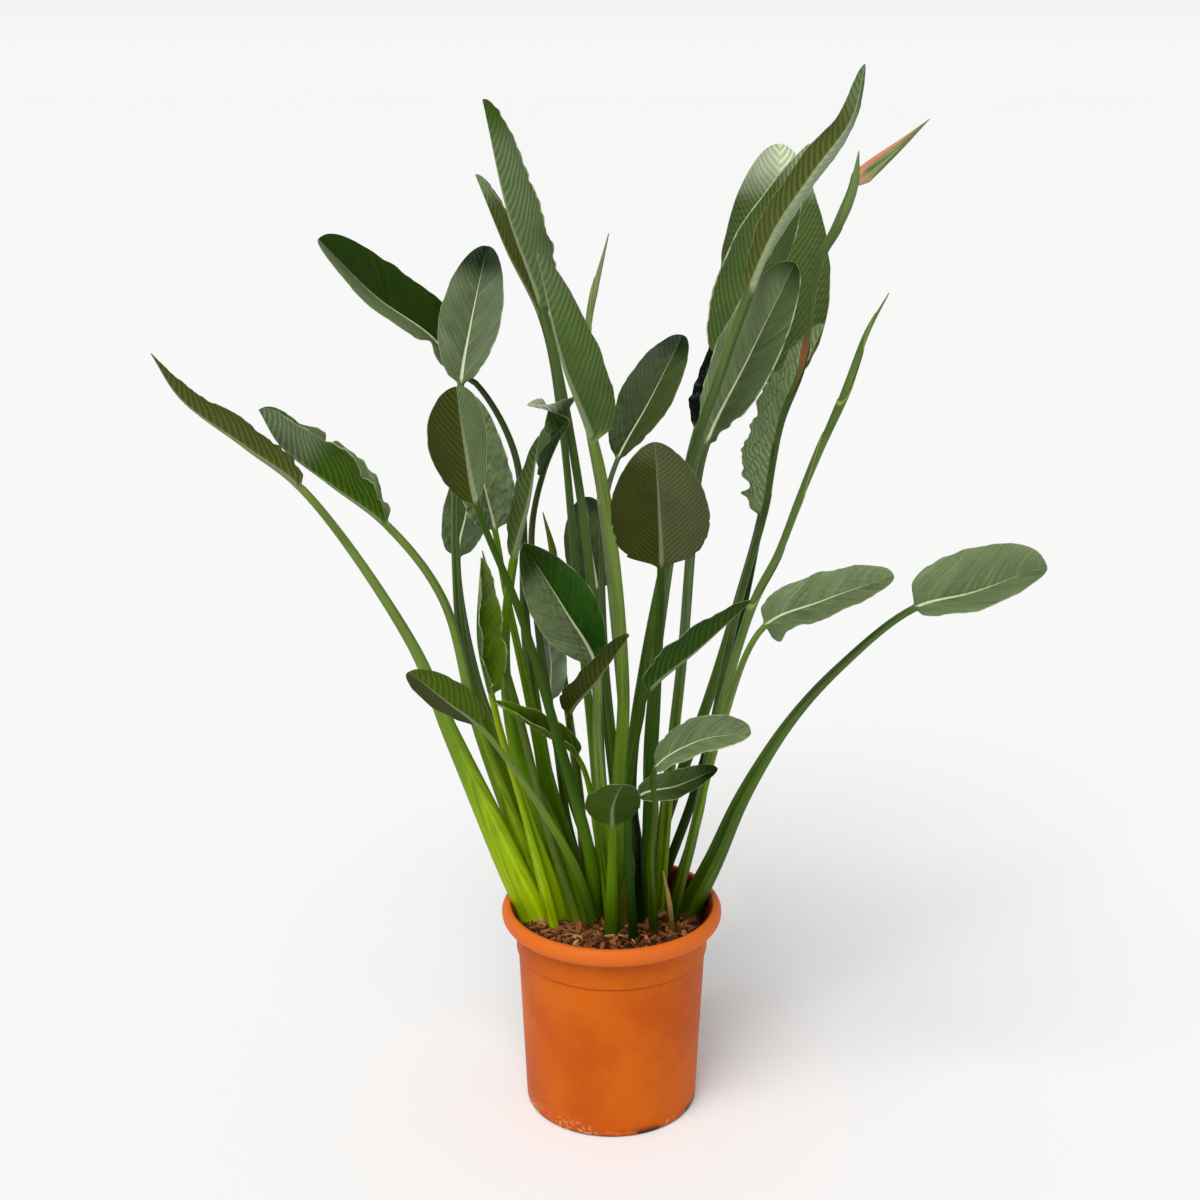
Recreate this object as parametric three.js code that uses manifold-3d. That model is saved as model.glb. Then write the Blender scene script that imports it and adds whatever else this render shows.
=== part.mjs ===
// Potted bird of paradise (Strelitzia): a round terracotta-coloured pot with a rolled rim, a plug of
// soil with bark chips, and the leaves and flower stalks that stand in holes in the soil.
// Millimetres, +Z up. The origin is the centre of the pot's flat underside. -Y is the front.
import * as THREE from 'three';
import { mergeVertices } from 'three/addons/utils/BufferGeometryUtils.js';
import Module from 'manifold-3d';

const wasm = await Module();
wasm.setup();

// ---------------------------------------------------------------- driving dimensions

const RIM_RADIUS = 150;           // outer edge of the rolled rim
const ROLL_HALF_WIDTH = 8.5;      // of the roll's oval section
const ROLL_HALF_HEIGHT = 12;
const POT_HEIGHT = 295;
const BASE_RADIUS = 118;          // outside, at the foot
const STEP_RADIUS = 128;          // outside, just below the step under the collar
const STEP_DROP = 65;             // from the top of the rim down to the step
const STEP_DEPTH = 2.5;           // how far the collar stands out over the body
const WALL = 4;
const FLOOR = 4;
const FOOT_CHAMFER = 3;
const DRAIN_RADIUS = 5;           // drainage holes in the floor
const DRAIN_CIRCLE = 78;
const DRAIN_COUNT = 6;
const COLLAR_DRAFT = 2;           // the collar widens by this much up to the roll
const POT_SIDES = 40;
const DRAIN_SIDES = 10;
const ROLL_START = -120;          // the rolled rim's arc, in degrees from straight out
const ROLL_END = 150;
const ROLL_STEP = 30;
const ROLL_FOOT = -40;            // where the collar runs into the roll

const SOIL_LEVEL = 268;
const SOIL_MOUND = 5;             // the soil rises a little towards the plant
const SOIL_RINGS = [0.75, 0.45, 0];
const SOIL_SIDES = 32;
const SEAT_GAP = 0.3;             // between touching pieces
const ROOT_DEPTH = 46;            // how deep a stalk stands in the soil
const CHIP_TRIES = 60;            // places drawn for bark chips; those on a stalk stay empty
const CHIP_LENGTH = [18, 34];
const CHIP_WIDTH = [8, 14];
const CHIP_THICKNESS = 5;
const CHIP_SHOWING = 0.3;         // how far a chip's middle lies above the soil, in thicknesses
const CHIP_TILT = [-0.3, 0.3];    // radians
const CHIP_RIM_ROOM = 0.6;        // shares of its length that a chip keeps from wall and stalks
const CHIP_STALK_ROOM = 0.55;
const CHIP_SEED = 4177;

const EDGE_THICKNESS = 1.0;       // of a blade, at its edge
const BLADE_THICKNESS = 1.5;      // of a blade, between edge and midrib
const RIB_ABOVE = 0.25;           // share of the midrib that stands out of the upper side
const RIB_TAPER = 1.3;            // power by which midrib and sheath grow thinner
const TIP_HALF_WIDTH = 0.6;
const TIP_SHARE = 0.9995;         // the outline's last share, so that it never quite closes
const TIP_STARTS = [0.35, 0.6];   // shares of the blade between which full gives way to blunt
const LOW = 0.75;                 // defaults for the leaves below
const CURL = -12;
const WAVES = 3.2;
const WAVE_SHIFT = 2;             // radians between the middle of a blade's ripples and each half's
const FULL = 0.62;

const RING_CORNERS = 10;          // of a stalk's section, and of a blade's
const STALK_ROWS = [0, 0.22, 0.44, 0.64, 0.83, 1];
const COLUMNS = [-1, -0.55, 0, 0.55, 1];
const BLADE_ROWS = [0.05, 0.16, 0.32, 0.5, 0.67, 0.82, 0.93, 1];
const STEM_STEPS = 10;
const SHORT_STEM_STEPS = 4;
const SHORT_STEM_POINTS = 3;
const SOCKET_STATIONS = 3;        // of a stalk's stations, the ones that its hole in the soil follows
const ARC_SAMPLES = 60;           // for measuring along a curve
const TINY = 1e-9;
const WELD = 1e-4;

const LEAF_GREEN = '#3d5634';
const STALK_GREEN = '#6a8a3c';
const DRY_TAN = '#b08a6a';
const BEAK_ORANGE = '#c98a63';
const SOIL_BROWN = '#5a3d2b';
const POT_ORANGE = '#cc5c05';

// ---------------------------------------------------------------- the leaves
// root: where the stalk leaves the soil, x and y. sheath: thickness and width of the stalk there.
// stalk: points that it passes. blade: points of the midrib from the base of the blade to its tip.
// neck: thickness where the blade starts. width: of the blade laid flat. face: where its upper side
// looks. fold: how far the left and the right half rise from flat, in degrees, seen from the upper
// side with the tip up. curl: change of that angle out to the edge. wave: rise and fall of the edge,
// waves: how many of them. full: small for a full outline, large for a slender one, and blunt is the
// same for the tip alone. low: under 1, the blade is widest below its middle.

const LEAVES = {
  leaf_left_1: {
    root: [-96, 6], sheath: [32, 22], neck: 11,
    stalk: [[-140, 5, 370], [-210, -5, 540], [-260, -20, 675]],
    blade: [[-386, -45, 882], [-452, -56, 939], [-526, -66, 1001], [-556, -75, 1057]], width: 54,
    face: [0.62, 0.1, 0.75], fold: [86, 42], wave: 1.5, blunt: 0.95, low: 0.8,
  },
  leaf_left_2: {
    root: [-88, 36], sheath: [22, 20], neck: 11,
    stalk: [[-125, 30, 385], [-180, 20, 550], [-220, 5, 725]],
    blade: [[-286, -10, 826], [-356, -22, 885], [-413, -32, 935], [-437, -40, 982]], width: 104,
    face: [0.6, -0.1, 0.78], fold: [82, 56], wave: 2, blunt: 0.45, low: 0.9,
  },
  leaf_left_3: {
    root: [-64, 32], sheath: [20, 20], neck: 9,
    stalk: [[-103, 50, 365], [-190, 50, 595], [-205, 40, 765]],
    blade: [[-195, 60, 995], [-185, 100, 1060], [-165, 170, 1160]], width: 84,
    face: [0.1, -0.8, 0.5], fold: [15, 32], wave: 1.5, blunt: 0.5, low: 0.85,
  },
  leaf_left_4: {
    root: [-80, 64], sheath: [18, 18], neck: 8,
    stalk: [[-115, 80, 380], [-185, 110, 575]],
    blade: [[-210, 130, 745], [-200, 165, 800], [-190, 210, 875]], width: 66,
    face: [0.15, -0.8, 0.5], fold: [25, 25], wave: 1.5,
  },
  leaf_left_5: {
    root: [-55, 60], sheath: [22, 20], neck: 8,
    stalk: [[-80, 65, 385], [-115, 85, 640], [-129, 120, 890], [-178, 132, 982]],
    blade: [[-199, 138, 996], [-239, 138, 1046], [-309, 130, 1099], [-379, 120, 1174]], width: 98,
    face: [0.45, -0.45, 0.75], fold: [26, 45], wave: 1, blunt: 0.42, low: 0.95,
  },
  leaf_left_6: {
    root: [-39, 28], sheath: [20, 20], neck: 8,
    stalk: [[-75, 22, 405], [-110, 20, 580], [-140, 24, 733]],
    blade: [[-152, 24, 811], [-168, 14, 896], [-175, 10, 990]], width: 80,
    face: [0.2, -0.85, 0.4], fold: [30, 40], wave: 3,
  },
  leaf_left_7: {
    root: [-46, 2], sheath: [26, 22], neck: 12,
    stalk: [[-85, 0, 400], [-130, -10, 535], [-140, -15, 660]],
    blade: [[-127, -14, 782], [-106, -10, 863], [-93, -5, 942]], width: 40,
    face: [-0.75, 0.5, 0.4], fold: [55, 62], wave: 2, blunt: 0.8, low: 0.9,
  },
  leaf_left_8: {
    root: [-70, -16], sheath: [18, 20], neck: 9,
    stalk: [[-110, -32, 425], [-145, -48, 560]],
    blade: [[-155, -52, 610], [-170, -60, 690], [-165, -65, 800]], width: 64,
    face: [0.7, -0.5, 0.4], fold: [50, 60], wave: 3,
  },
  leaf_left_9: {
    root: [-34, 56], sheath: [16, 16], neck: 7, stalk: [[-60, 70, 375], [-75, 100, 465]],
    blade: [[-85, 125, 540], [-85, 145, 595], [-95, 160, 650]], width: 46,
    face: [0.1, -0.8, 0.5], fold: [25, 25], wave: 3,
  },
  leaf_middle_1: {
    root: [-24, -24], sheath: [14, 16], neck: 6.5,
    stalk: [[-50, -50, 370], [-105, -105, 500]],
    blade: [[-164, -155, 609], [-201, -185, 653], [-242, -215, 701]], width: 60,
    face: [0.2, 0.95, 0.2], fold: [20, 24], wave: 1, blunt: 0.5, low: 0.9,
  },
  leaf_middle_2: {
    root: [-20, 4], sheath: [20, 20], neck: 8,
    stalk: [[-30, -45, 385], [-65, -100, 555], [-115, -140, 755]],
    blade: [[-162, -160, 891], [-172, -178, 961], [-179, -205, 1040]], width: 92,
    face: [0.1, 0.95, 0.25], fold: [74, 14], wave: 1, full: 0.55, blunt: 0.6, low: 1,
  },
  leaf_middle_3: {
    root: [-2, -20], sheath: [14, 14], neck: 7,
    stalk: [[-18, -28, 395]],
    blade: [[-45, -44, 523], [-95, -54, 564], [-153, -68, 609]], width: 46,
    face: [0.45, -0.6, 0.7], fold: [72, 60], wave: 2, blunt: 0.6,
  },
  leaf_middle_4: {
    root: [-14, 28], sheath: [14, 14], neck: 7,
    stalk: [[-40, 4, 415], [-50, -8, 520]],
    blade: [[-55, -50, 585], [-20, -108, 652], [20, -125, 717]], width: 50,
    face: [-0.55, 0.3, 0.7], fold: [62, 62], wave: 1.5, blunt: 0.4,
  },
  leaf_middle_5: {
    root: [-8, 56], sheath: [18, 18], neck: 8,
    stalk: [[-70, 60, 475], [-100, 45, 685], [-105, 35, 810]],
    blade: [[-90, 20, 885], [-70, 0, 935], [-55, -20, 965], [-75, -40, 980], [-105, -55, 990]], width: 70,
    face: [-0.6, -0.3, 0.6], fold: [35, 40], wave: 2,
  },
  leaf_middle_6: {
    root: [2, 6], sheath: [20, 22], neck: 10,
    stalk: [[-13, -20, 450], [-20, -35, 560]],
    blade: [[-22, -54, 655], [-60, -77, 735], [-110, -110, 830]], width: 92,
    face: [0.1, -0.85, 0.4], fold: [26, 46], wave: 1.5, low: 1.05,
  },
  leaf_middle_7: {
    root: [8, 36], sheath: [20, 20], neck: 11,
    stalk: [[-12, 28, 460], [-25, 20, 720], [-45, 20, 890]],
    blade: [[-85, 0, 1100], [-125, -10, 1215], [-155, -20, 1350]], width: 108,
    face: [0.93, 0.1, 0.3], fold: [48, 46], wave: 1, blunt: 0.45, low: 0.75,
  },
  leaf_middle_8: {
    root: [-12, 84], sheath: [18, 18], neck: 10,
    stalk: [[-20, 105, 425], [-45, 120, 690], [-65, 115, 925]],
    blade: [[-90, 115, 1070], [-135, 120, 1160], [-175, 120, 1255]], width: 80,
    face: [0.93, 0.1, 0.3], fold: [38, 45], wave: 1, blunt: 0.5,
  },
  leaf_middle_9: {
    root: [17, 65], sheath: [18, 18], neck: 9,
    stalk: [[10, 85, 375], [-10, 125, 540]],
    blade: [[-20, 175, 685], [-30, 210, 745], [-35, 255, 800]], width: 78,
    face: [0.05, -0.8, 0.5], fold: [22, 22], wave: 2, blunt: 0.5,
  },
  leaf_centre_1: {
    root: [0, -48], sheath: [20, 22], neck: 10,
    stalk: [[0, -65, 355]],
    blade: [[0, -100, 450], [0, -160, 505], [10, -235, 565]], width: 70,
    face: [0, 0.6, 0.75], fold: [15, 15], wave: 1.5, full: 0.5, blunt: 0.5,
  },
  leaf_centre_2: {
    root: [25, -4], sheath: [22, 20], neck: 13,
    stalk: [[10, -35, 455], [15, -55, 620], [0, -70, 820]],
    blade: [[-23, -85, 950], [-59, -112, 1053], [-89, -140, 1184]], width: 92,
    face: [0.85, 0.4, 0.35], fold: [66, 70], wave: 0.8, blunt: 0.62, low: 0.68,
  },
  leaf_centre_3: {
    root: [34, 22], sheath: [16, 16], neck: 7,
    stalk: [[10, 45, 435], [-10, 85, 630], [-10, 125, 815]],
    blade: [[7, 145, 877], [50, 175, 951], [97, 215, 1036]], width: 88,
    face: [-0.35, -0.7, 0.55], fold: [16, 28], wave: 1, blunt: 0.5, low: 1,
  },
  leaf_centre_4: {
    root: [50, -6], sheath: [20, 22], neck: 10,
    stalk: [[50, -25, 455], [55, -70, 610]],
    blade: [[58, -140, 808], [52, -220, 902], [43, -330, 1002]], width: 116,
    face: [0, 0.5, 0.85], fold: [12, 12], wave: 1, full: 0.5, blunt: 0.6, low: 0.62,
  },
  leaf_centre_5: {
    root: [36, -26], sheath: [14, 14], neck: 7,
    stalk: [[36, -42, 395]],
    blade: [[35, -60, 474], [85, -70, 494], [135, -85, 524]], width: 42,
    face: [-0.2, -0.7, 0.7], fold: [20, 25], wave: 1.5, blunt: 0.5,
  },
  leaf_centre_6: {
    root: [38, 48], sheath: [20, 20], neck: 12,
    stalk: [[25, 55, 435], [45, 0, 650], [97, -105, 948], [121, -124, 1028]],
    blade: [[155, -124, 1130], [186, -118, 1205], [230, -110, 1272], [272, -100, 1331], [286, -90, 1390]],
    width: 46,
    face: [-0.7, 0.6, 0.35], fold: [14, 70], wave: 1.2, blunt: 0.6, low: 0.85,
  },
  leaf_right_1: {
    root: [56, -50], sheath: [14, 14], neck: 7,
    stalk: [[50, -80, 395], [55, -115, 480]],
    blade: [[53, -140, 547], [107, -160, 592], [168, -180, 610]], width: 66,
    face: [-0.35, -0.45, 0.8], fold: [18, 25], wave: 1, full: 0.5, blunt: 0.4, low: 0.9,
  },
  leaf_right_2: {
    root: [64, 10], sheath: [18, 20], neck: 9,
    stalk: [[75, -5, 465], [90, -35, 665], [100, -60, 850]],
    blade: [[114, -70, 944], [160, -95, 1053], [210, -120, 1169]], width: 88,
    face: [-0.35, -0.75, 0.45], fold: [15, 22], wave: 1, full: 0.55, blunt: 0.42, low: 1.05,
  },
  leaf_right_3: {
    root: [62, 38], sheath: [18, 18], neck: 9,
    stalk: [[50, 50, 485], [70, 65, 705]],
    blade: [[110, 85, 930], [152, 100, 1035], [206, 120, 1129]], width: 50,
    face: [-0.4, -0.75, 0.45], fold: [20, 25], wave: 3.5,
  },
  leaf_right_4: {
    root: [62, 60], sheath: [20, 18], neck: 10,
    stalk: [[78, 80, 429], [96, 75, 628], [106, 72, 786], [117, 62, 936]],
    blade: [[140, 50, 1025], [195, 65, 1165], [245, 80, 1295]], width: 96,
    face: [-0.3, 0.8, 0.4], fold: [20, 30], wave: 1.5, blunt: 0.85,
  },
  leaf_right_5: {
    root: [46, 86], sheath: [20, 20], neck: 10,
    stalk: [[86, 125, 390], [137, 158, 528], [178, 180, 668], [213, 205, 808]],
    blade: [[220, 228, 967], [223, 240, 1134], [227, 280, 1286]], width: 154,
    face: [0, 0.85, 0.4], fold: [14, 14], wave: 1, full: 0.5, blunt: 0.5,
  },
  leaf_right_6: {
    root: [82, -16], sheath: [16, 16], neck: 8,
    stalk: [[105, -35, 400], [140, -60, 570]],
    blade: [[189, -90, 717], [258, -105, 755], [343, -120, 792]], width: 72,
    face: [-0.3, -0.4, 0.85], fold: [35, 12], wave: 1.5, full: 0.45, blunt: 0.42, low: 0.75,
  },
  leaf_right_7: {
    root: [66, 82], sheath: [18, 18], neck: 10,
    stalk: [[115, 88, 418], [179, 120, 674]],
    blade: [[203, 140, 798], [228, 152, 929], [283, 168, 1058]], width: 90,
    face: [-0.8, 0.4, 0.4], fold: [42, 50], wave: 3, blunt: 0.5,
  },
  leaf_right_8: {
    root: [101, 6], sheath: [34, 20], neck: 9.5,
    stalk: [[138, -8, 362], [174, -22, 460], [230, -38, 569], [289, -55, 650]],
    blade: [[377, -80, 738], [451, -85, 761], [535, -95, 799]], width: 108,
    face: [-0.25, -0.5, 0.85], fold: [45, 30], wave: 1, full: 0.45, blunt: 0.38, low: 0.85,
  },
  leaf_right_9: {
    root: [28, -62], sheath: [14, 14], neck: 7,
    stalk: [[20, -95, 495], [35, -130, 610]],
    blade: [[43, -155, 655], [105, -170, 717], [165, -185, 780]], width: 58,
    face: [-0.5, 0.35, 0.75], fold: [55, 60], wave: 1.5,
  },
};

// Flower stalks, rolled young leaves and the short sheaths at the soil. girth: pairs of the share of
// the length above the soil and the thickness there. flat: width over thickness.
const STEMS = {
  flower_stalk_1: {
    root: [86, 54], face: [0, -1, 0], flat: 1,
    points: [
      [120, 50, 400], [135, 55, 510], [170, 60, 705], [200, 70, 820], [220, 80, 940],
      [245, 85, 1015], [265, 95, 1150], [285, 95, 1190], [305, 100, 1240], [310, 100, 1285],
    ],
    girth: [[0, 13], [0.4, 10], [0.6, 8.5], [0.8, 9], [0.93, 14], [0.97, 10], [1, 1.2]],
  },
  flower_stalk_2: {
    root: [88, 30], face: [0, -1, 0], flat: 1,
    points: [
      [110, 28, 370], [135, 20, 520], [185, 20, 715], [215, 20, 780], [240, 15, 855], [265, 10, 925],
      [290, 5, 990], [315, 0, 1070], [340, 0, 1120],
    ],
    girth: [[0, 14], [0.4, 12], [0.7, 9], [0.86, 11], [0.94, 6], [1, 1.2]],
  },
  flower_stalk_3: {
    root: [36, 102], face: [0, -1, 0], flat: 1,
    points: [[25, 105, 405], [5, 100, 640], [-15, 95, 835], [-35, 80, 970], [-30, 80, 1075], [-5, 80, 1185]],
    girth: [[0, 12], [0.5, 9], [0.85, 8], [0.92, 9], [1, 1.2]],
  },
  young_leaf_1: {
    root: [-36, 86], face: [0, -1, 0], flat: 1.2,
    points: [[-45, 120, 395], [-70, 160, 590], [-80, 180, 730], [-95, 185, 795]],
    girth: [[0, 13], [0.7, 8], [0.9, 9], [1, 1.2]],
  },
  young_leaf_2: {
    root: [-46, -24], face: [0, -1, 0], flat: 1.2,
    points: [[-90, -30, 430], [-120, -34, 570], [-145, -34, 670], [-155, -34, 750], [-165, -34, 800]],
    girth: [[0, 12], [0.6, 9], [0.85, 10], [1, 1.2]],
  },
  sheath_stub: {
    root: [15, -32], face: [0, -1, 0], flat: 1.8,
    points: [[18, -36, 325], [25, -38, 370]],
    girth: [[0, 7], [0.5, 8], [1, 1.2]],
  },
  dry_sheath: {
    root: [82, -42], face: [0, -1, 0], flat: 1.8, color: DRY_TAN,
    points: [[76, -46, 320], [68, -44, 360]],
    girth: [[0, 4], [0.5, 4], [1, 1.2]],
  },
};

const FLOWER_BEAK = {
  points: [[309, 100, 1247], [326, 100, 1264], [362, 100, 1293], [397, 100, 1324]],
  height: [[0, 24], [0.25, 18], [0.7, 8], [1, 1.2]],
  flat: 0.6, face: [-0.6, 0, 0.8],
};
const BEAK_STEPS = 7;

// ---------------------------------------------------------------- small helpers

const radians = THREE.MathUtils.degToRad;
const vector = (point) => new THREE.Vector3(...point);

// Same draws each run: a small multiplicative generator.
function randomSource(seed) {
  const multiplier = 48271;
  const modulus = 2147483647;
  let state = seed;
  return () => {
    state = (state * multiplier) % modulus;
    return state / modulus;
  };
}

function toSolid(geometry) {
  const plain = geometry.index ? geometry.clone() : mergeVertices(geometry);
  plain.deleteAttribute('normal');
  plain.deleteAttribute('uv');
  const merged = mergeVertices(plain, WELD);
  return new wasm.Manifold(new wasm.Mesh({
    numProp: 3,
    vertProperties: new Float32Array(merged.attributes.position.array),
    triVerts: new Uint32Array(merged.index.array),
  }));
}

// The largest of the pieces that a cut leaves, without its loose scraps.
function largest(solid) {
  return solid.decompose().sort((one, other) => other.volume() - one.volume())[0];
}

function toGeometry(solid) {
  const mesh = solid.getMesh();
  const geometry = new THREE.BufferGeometry();
  geometry.setAttribute('position', new THREE.BufferAttribute(new Float32Array(mesh.vertProperties), 3));
  geometry.setIndex(new THREE.BufferAttribute(new Uint32Array(mesh.triVerts), 1));
  return geometry;
}

// Closed skin through rings of points that all have the same count. Each ring runs the same way
// round, left to right over the top and back underneath, so both faces share their diagonals.
function skin(rings) {
  const count = rings[0].length;
  const half = count / 2;
  const positions = [];
  const index = [];
  for (const ring of rings) {
    for (const point of ring) {
      positions.push(point.x, point.y, point.z);
    }
  }
  const quad = (a, b, c, d, flip) => {
    if (flip) {
      index.push(a, b, d, b, c, d);
    } else {
      index.push(a, b, c, a, c, d);
    }
  };
  for (let row = 0; row + 1 < rings.length; row += 1) {
    const near = row * count;
    const far = near + count;
    for (let side = 0; side < count; side += 1) {
      const next = (side + 1) % count;
      quad(near + side, near + next, far + next, far + side, side >= half);
    }
  }
  const last = (rings.length - 1) * count;
  for (let step = 0; step + 1 < half; step += 1) {
    const under = count - 1 - step;
    index.push(step, under - 1, step + 1, step, under, under - 1);
    index.push(last + step, last + under - 1, last + under, last + step, last + step + 1, last + under - 1);
  }
  const geometry = new THREE.BufferGeometry();
  geometry.setAttribute('position', new THREE.Float32BufferAttribute(positions, 3));
  geometry.setIndex(index);
  return geometry;
}

// Upper side and right-hand side of a leaf at one place, square to its run.
function frameAt(tangent, face) {
  const up = face.clone().addScaledVector(tangent, -face.dot(tangent)).normalize();
  const right = new THREE.Vector3().crossVectors(tangent, up);
  return { up, right };
}

// ---------------------------------------------------------------- pot and soil

// The pot's inside, which runs parallel to its tapered outside.
function innerRadius(z) {
  const slope = (STEP_RADIUS - BASE_RADIUS) / (POT_HEIGHT - STEP_DROP);
  return BASE_RADIUS + slope * z - WALL;
}

function makePot() {
  const step = POT_HEIGHT - STEP_DROP;
  const rollCentre = new THREE.Vector2(RIM_RADIUS - ROLL_HALF_WIDTH, POT_HEIGHT - ROLL_HALF_HEIGHT);
  const collar = STEP_RADIUS + STEP_DEPTH;
  const profile = [
    new THREE.Vector2(0, 0),
    new THREE.Vector2(BASE_RADIUS - FOOT_CHAMFER, 0),
    new THREE.Vector2(BASE_RADIUS, FOOT_CHAMFER),
    new THREE.Vector2(STEP_RADIUS, step),
    new THREE.Vector2(collar, step + STEP_DEPTH),
    new THREE.Vector2(collar + COLLAR_DRAFT, rollCentre.y + ROLL_HALF_HEIGHT * Math.sin(radians(ROLL_FOOT))),
  ];
  for (let angle = ROLL_START; angle <= ROLL_END; angle += ROLL_STEP) {
    const turn = radians(angle);
    profile.push(new THREE.Vector2(
      rollCentre.x + ROLL_HALF_WIDTH * Math.cos(turn),
      rollCentre.y + ROLL_HALF_HEIGHT * Math.sin(turn),
    ));
  }
  profile.push(new THREE.Vector2(collar + COLLAR_DRAFT - WALL, rollCentre.y));
  profile.push(new THREE.Vector2(innerRadius(step) + STEP_DEPTH, step + STEP_DEPTH));
  profile.push(new THREE.Vector2(innerRadius(step), step - STEP_DEPTH));
  profile.push(new THREE.Vector2(innerRadius(FLOOR), FLOOR));
  profile.push(new THREE.Vector2(0, FLOOR));
  let pot = toSolid(new THREE.LatheGeometry(profile, POT_SIDES).rotateX(Math.PI / 2));
  for (let hole = 0; hole < DRAIN_COUNT; hole += 1) {
    const turn = (hole + 0.5) * 2 * Math.PI / DRAIN_COUNT;
    const drill = new THREE.CylinderGeometry(DRAIN_RADIUS, DRAIN_RADIUS, 4 * FLOOR, DRAIN_SIDES);
    drill.rotateX(Math.PI / 2);
    drill.translate(DRAIN_CIRCLE * Math.cos(turn), DRAIN_CIRCLE * Math.sin(turn), 0);
    pot = pot.subtract(toSolid(drill));
  }
  return toGeometry(pot);
}

function soilHeight(radius) {
  const out = radius / innerRadius(SOIL_LEVEL);
  return SOIL_LEVEL + SOIL_MOUND * (1 - out * out);
}

// A plug of soil that fills the pot's body, with bark chips lying on it and a hole for each stalk.
function makeSoil(sockets, roots) {
  const shoulder = POT_HEIGHT - STEP_DROP - STEP_DEPTH;
  const top = innerRadius(shoulder) - 2 * SEAT_GAP;
  const profile = [
    new THREE.Vector2(0, FLOOR + SEAT_GAP),
    new THREE.Vector2(innerRadius(FLOOR) - 2 * SEAT_GAP, FLOOR + SEAT_GAP),
    new THREE.Vector2(top, shoulder),
    new THREE.Vector2(top, SOIL_LEVEL),
  ];
  for (const share of SOIL_RINGS) {
    profile.push(new THREE.Vector2(share * top, soilHeight(share * top)));
  }
  let soil = toSolid(new THREE.LatheGeometry(profile, SOIL_SIDES).rotateX(Math.PI / 2));
  const random = randomSource(CHIP_SEED);
  const draw = ([low, high]) => low + (high - low) * random();
  for (let count = 0; count < CHIP_TRIES; count += 1) {
    const length = draw(CHIP_LENGTH);
    const width = draw(CHIP_WIDTH);
    const reach = (top - CHIP_RIM_ROOM * length) * Math.sqrt(random());
    const around = 2 * Math.PI * random();
    const x = reach * Math.cos(around);
    const y = reach * Math.sin(around);
    const chip = new THREE.BoxGeometry(length, width, CHIP_THICKNESS);
    chip.rotateX(draw(CHIP_TILT)).rotateY(draw(CHIP_TILT)).rotateZ(draw([0, Math.PI]));
    chip.translate(x, y, soilHeight(reach) + CHIP_SHOWING * CHIP_THICKNESS);
    const room = CHIP_STALK_ROOM * length;
    if (roots.every((root) => Math.hypot(root.x - x, root.y - y) > root.reach + room)) {
      soil = soil.add(toSolid(chip));
    }
  }
  for (const socket of sockets) {
    soil = soil.subtract(socket);
  }
  return toGeometry(largest(soil));
}

// ---------------------------------------------------------------- leaves

// One ring of a stalk: a flattened round, upper half first from left to right.
function stalkRing(centre, frame, width, thickness) {
  const ring = [];
  for (let corner = 0; corner < RING_CORNERS; corner += 1) {
    const turn = Math.PI * (1 - (2 * corner + 1) / RING_CORNERS);
    ring.push(centre.clone()
      .addScaledVector(frame.right, 0.5 * width * Math.cos(turn))
      .addScaledVector(frame.up, 0.5 * thickness * Math.sin(turn)));
  }
  return ring;
}

// One ring of a blade at the share t of its length from base to tip.
function bladeRing(leaf, centre, tangent, t) {
  const { fold, curl = CURL, wave, width, neck, full = FULL, waves = WAVES, low = LOW } = leaf;
  const { blunt = full } = leaf;
  const { up, right } = frameAt(tangent, vector(leaf.face).normalize());
  const roundness = full + (blunt - full) * THREE.MathUtils.smoothstep(t, ...TIP_STARTS);
  const outline = Math.sin(Math.PI * Math.min(t, TIP_SHARE) ** low) ** roundness;
  const halfWidth = 0.5 * width * outline + TIP_HALF_WIDTH;
  const rib = 0.5 * neck * (1 - t) ** RIB_TAPER;
  const overTop = [];
  const underneath = [];
  for (const column of COLUMNS) {
    const side = Math.sign(column);
    const out = Math.abs(column);
    const angle = radians((side < 0 ? fold[0] : fold[1]) + 0.5 * curl * out);
    const swing = Math.sin(2 * Math.PI * waves * t + WAVE_SHIFT * side);
    const ripple = wave * out * out * Math.sin(Math.PI * t) * swing;
    const across = side * out * halfWidth * Math.cos(angle);
    const rise = out * halfWidth * Math.sin(angle) + ripple;
    const middle = centre.clone().addScaledVector(right, across).addScaledVector(up, rise);
    const normal = up.clone();
    if (side !== 0) {
      normal.multiplyScalar(Math.cos(angle)).addScaledVector(right, -side * Math.sin(angle));
    }
    const thick = out === 1 ? EDGE_THICKNESS : BLADE_THICKNESS;
    const above = side === 0 ? 0.5 * thick + RIB_ABOVE * rib : 0.5 * thick;
    const below = side === 0 ? 0.5 * thick + rib : 0.5 * thick;
    overTop.push(middle.clone().addScaledVector(normal, above));
    underneath.push(middle.clone().addScaledVector(normal, -below));
  }
  return [...overTop, ...underneath.reverse()];
}

// Curve through a foot in the soil, the root at the surface and the points above it.
function plantedPath(root, above) {
  const surface = new THREE.Vector3(root[0], root[1], SOIL_LEVEL);
  const slant = vector(above[0]).sub(surface).normalize().add(new THREE.Vector3(0, 0, 1)).normalize();
  const foot = surface.clone().addScaledVector(slant, -ROOT_DEPTH);
  const points = [foot, surface, ...above.map(vector)];
  return { curve: new THREE.CatmullRomCurve3(points, false, 'centripetal'), step: 1 / (points.length - 1) };
}

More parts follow.
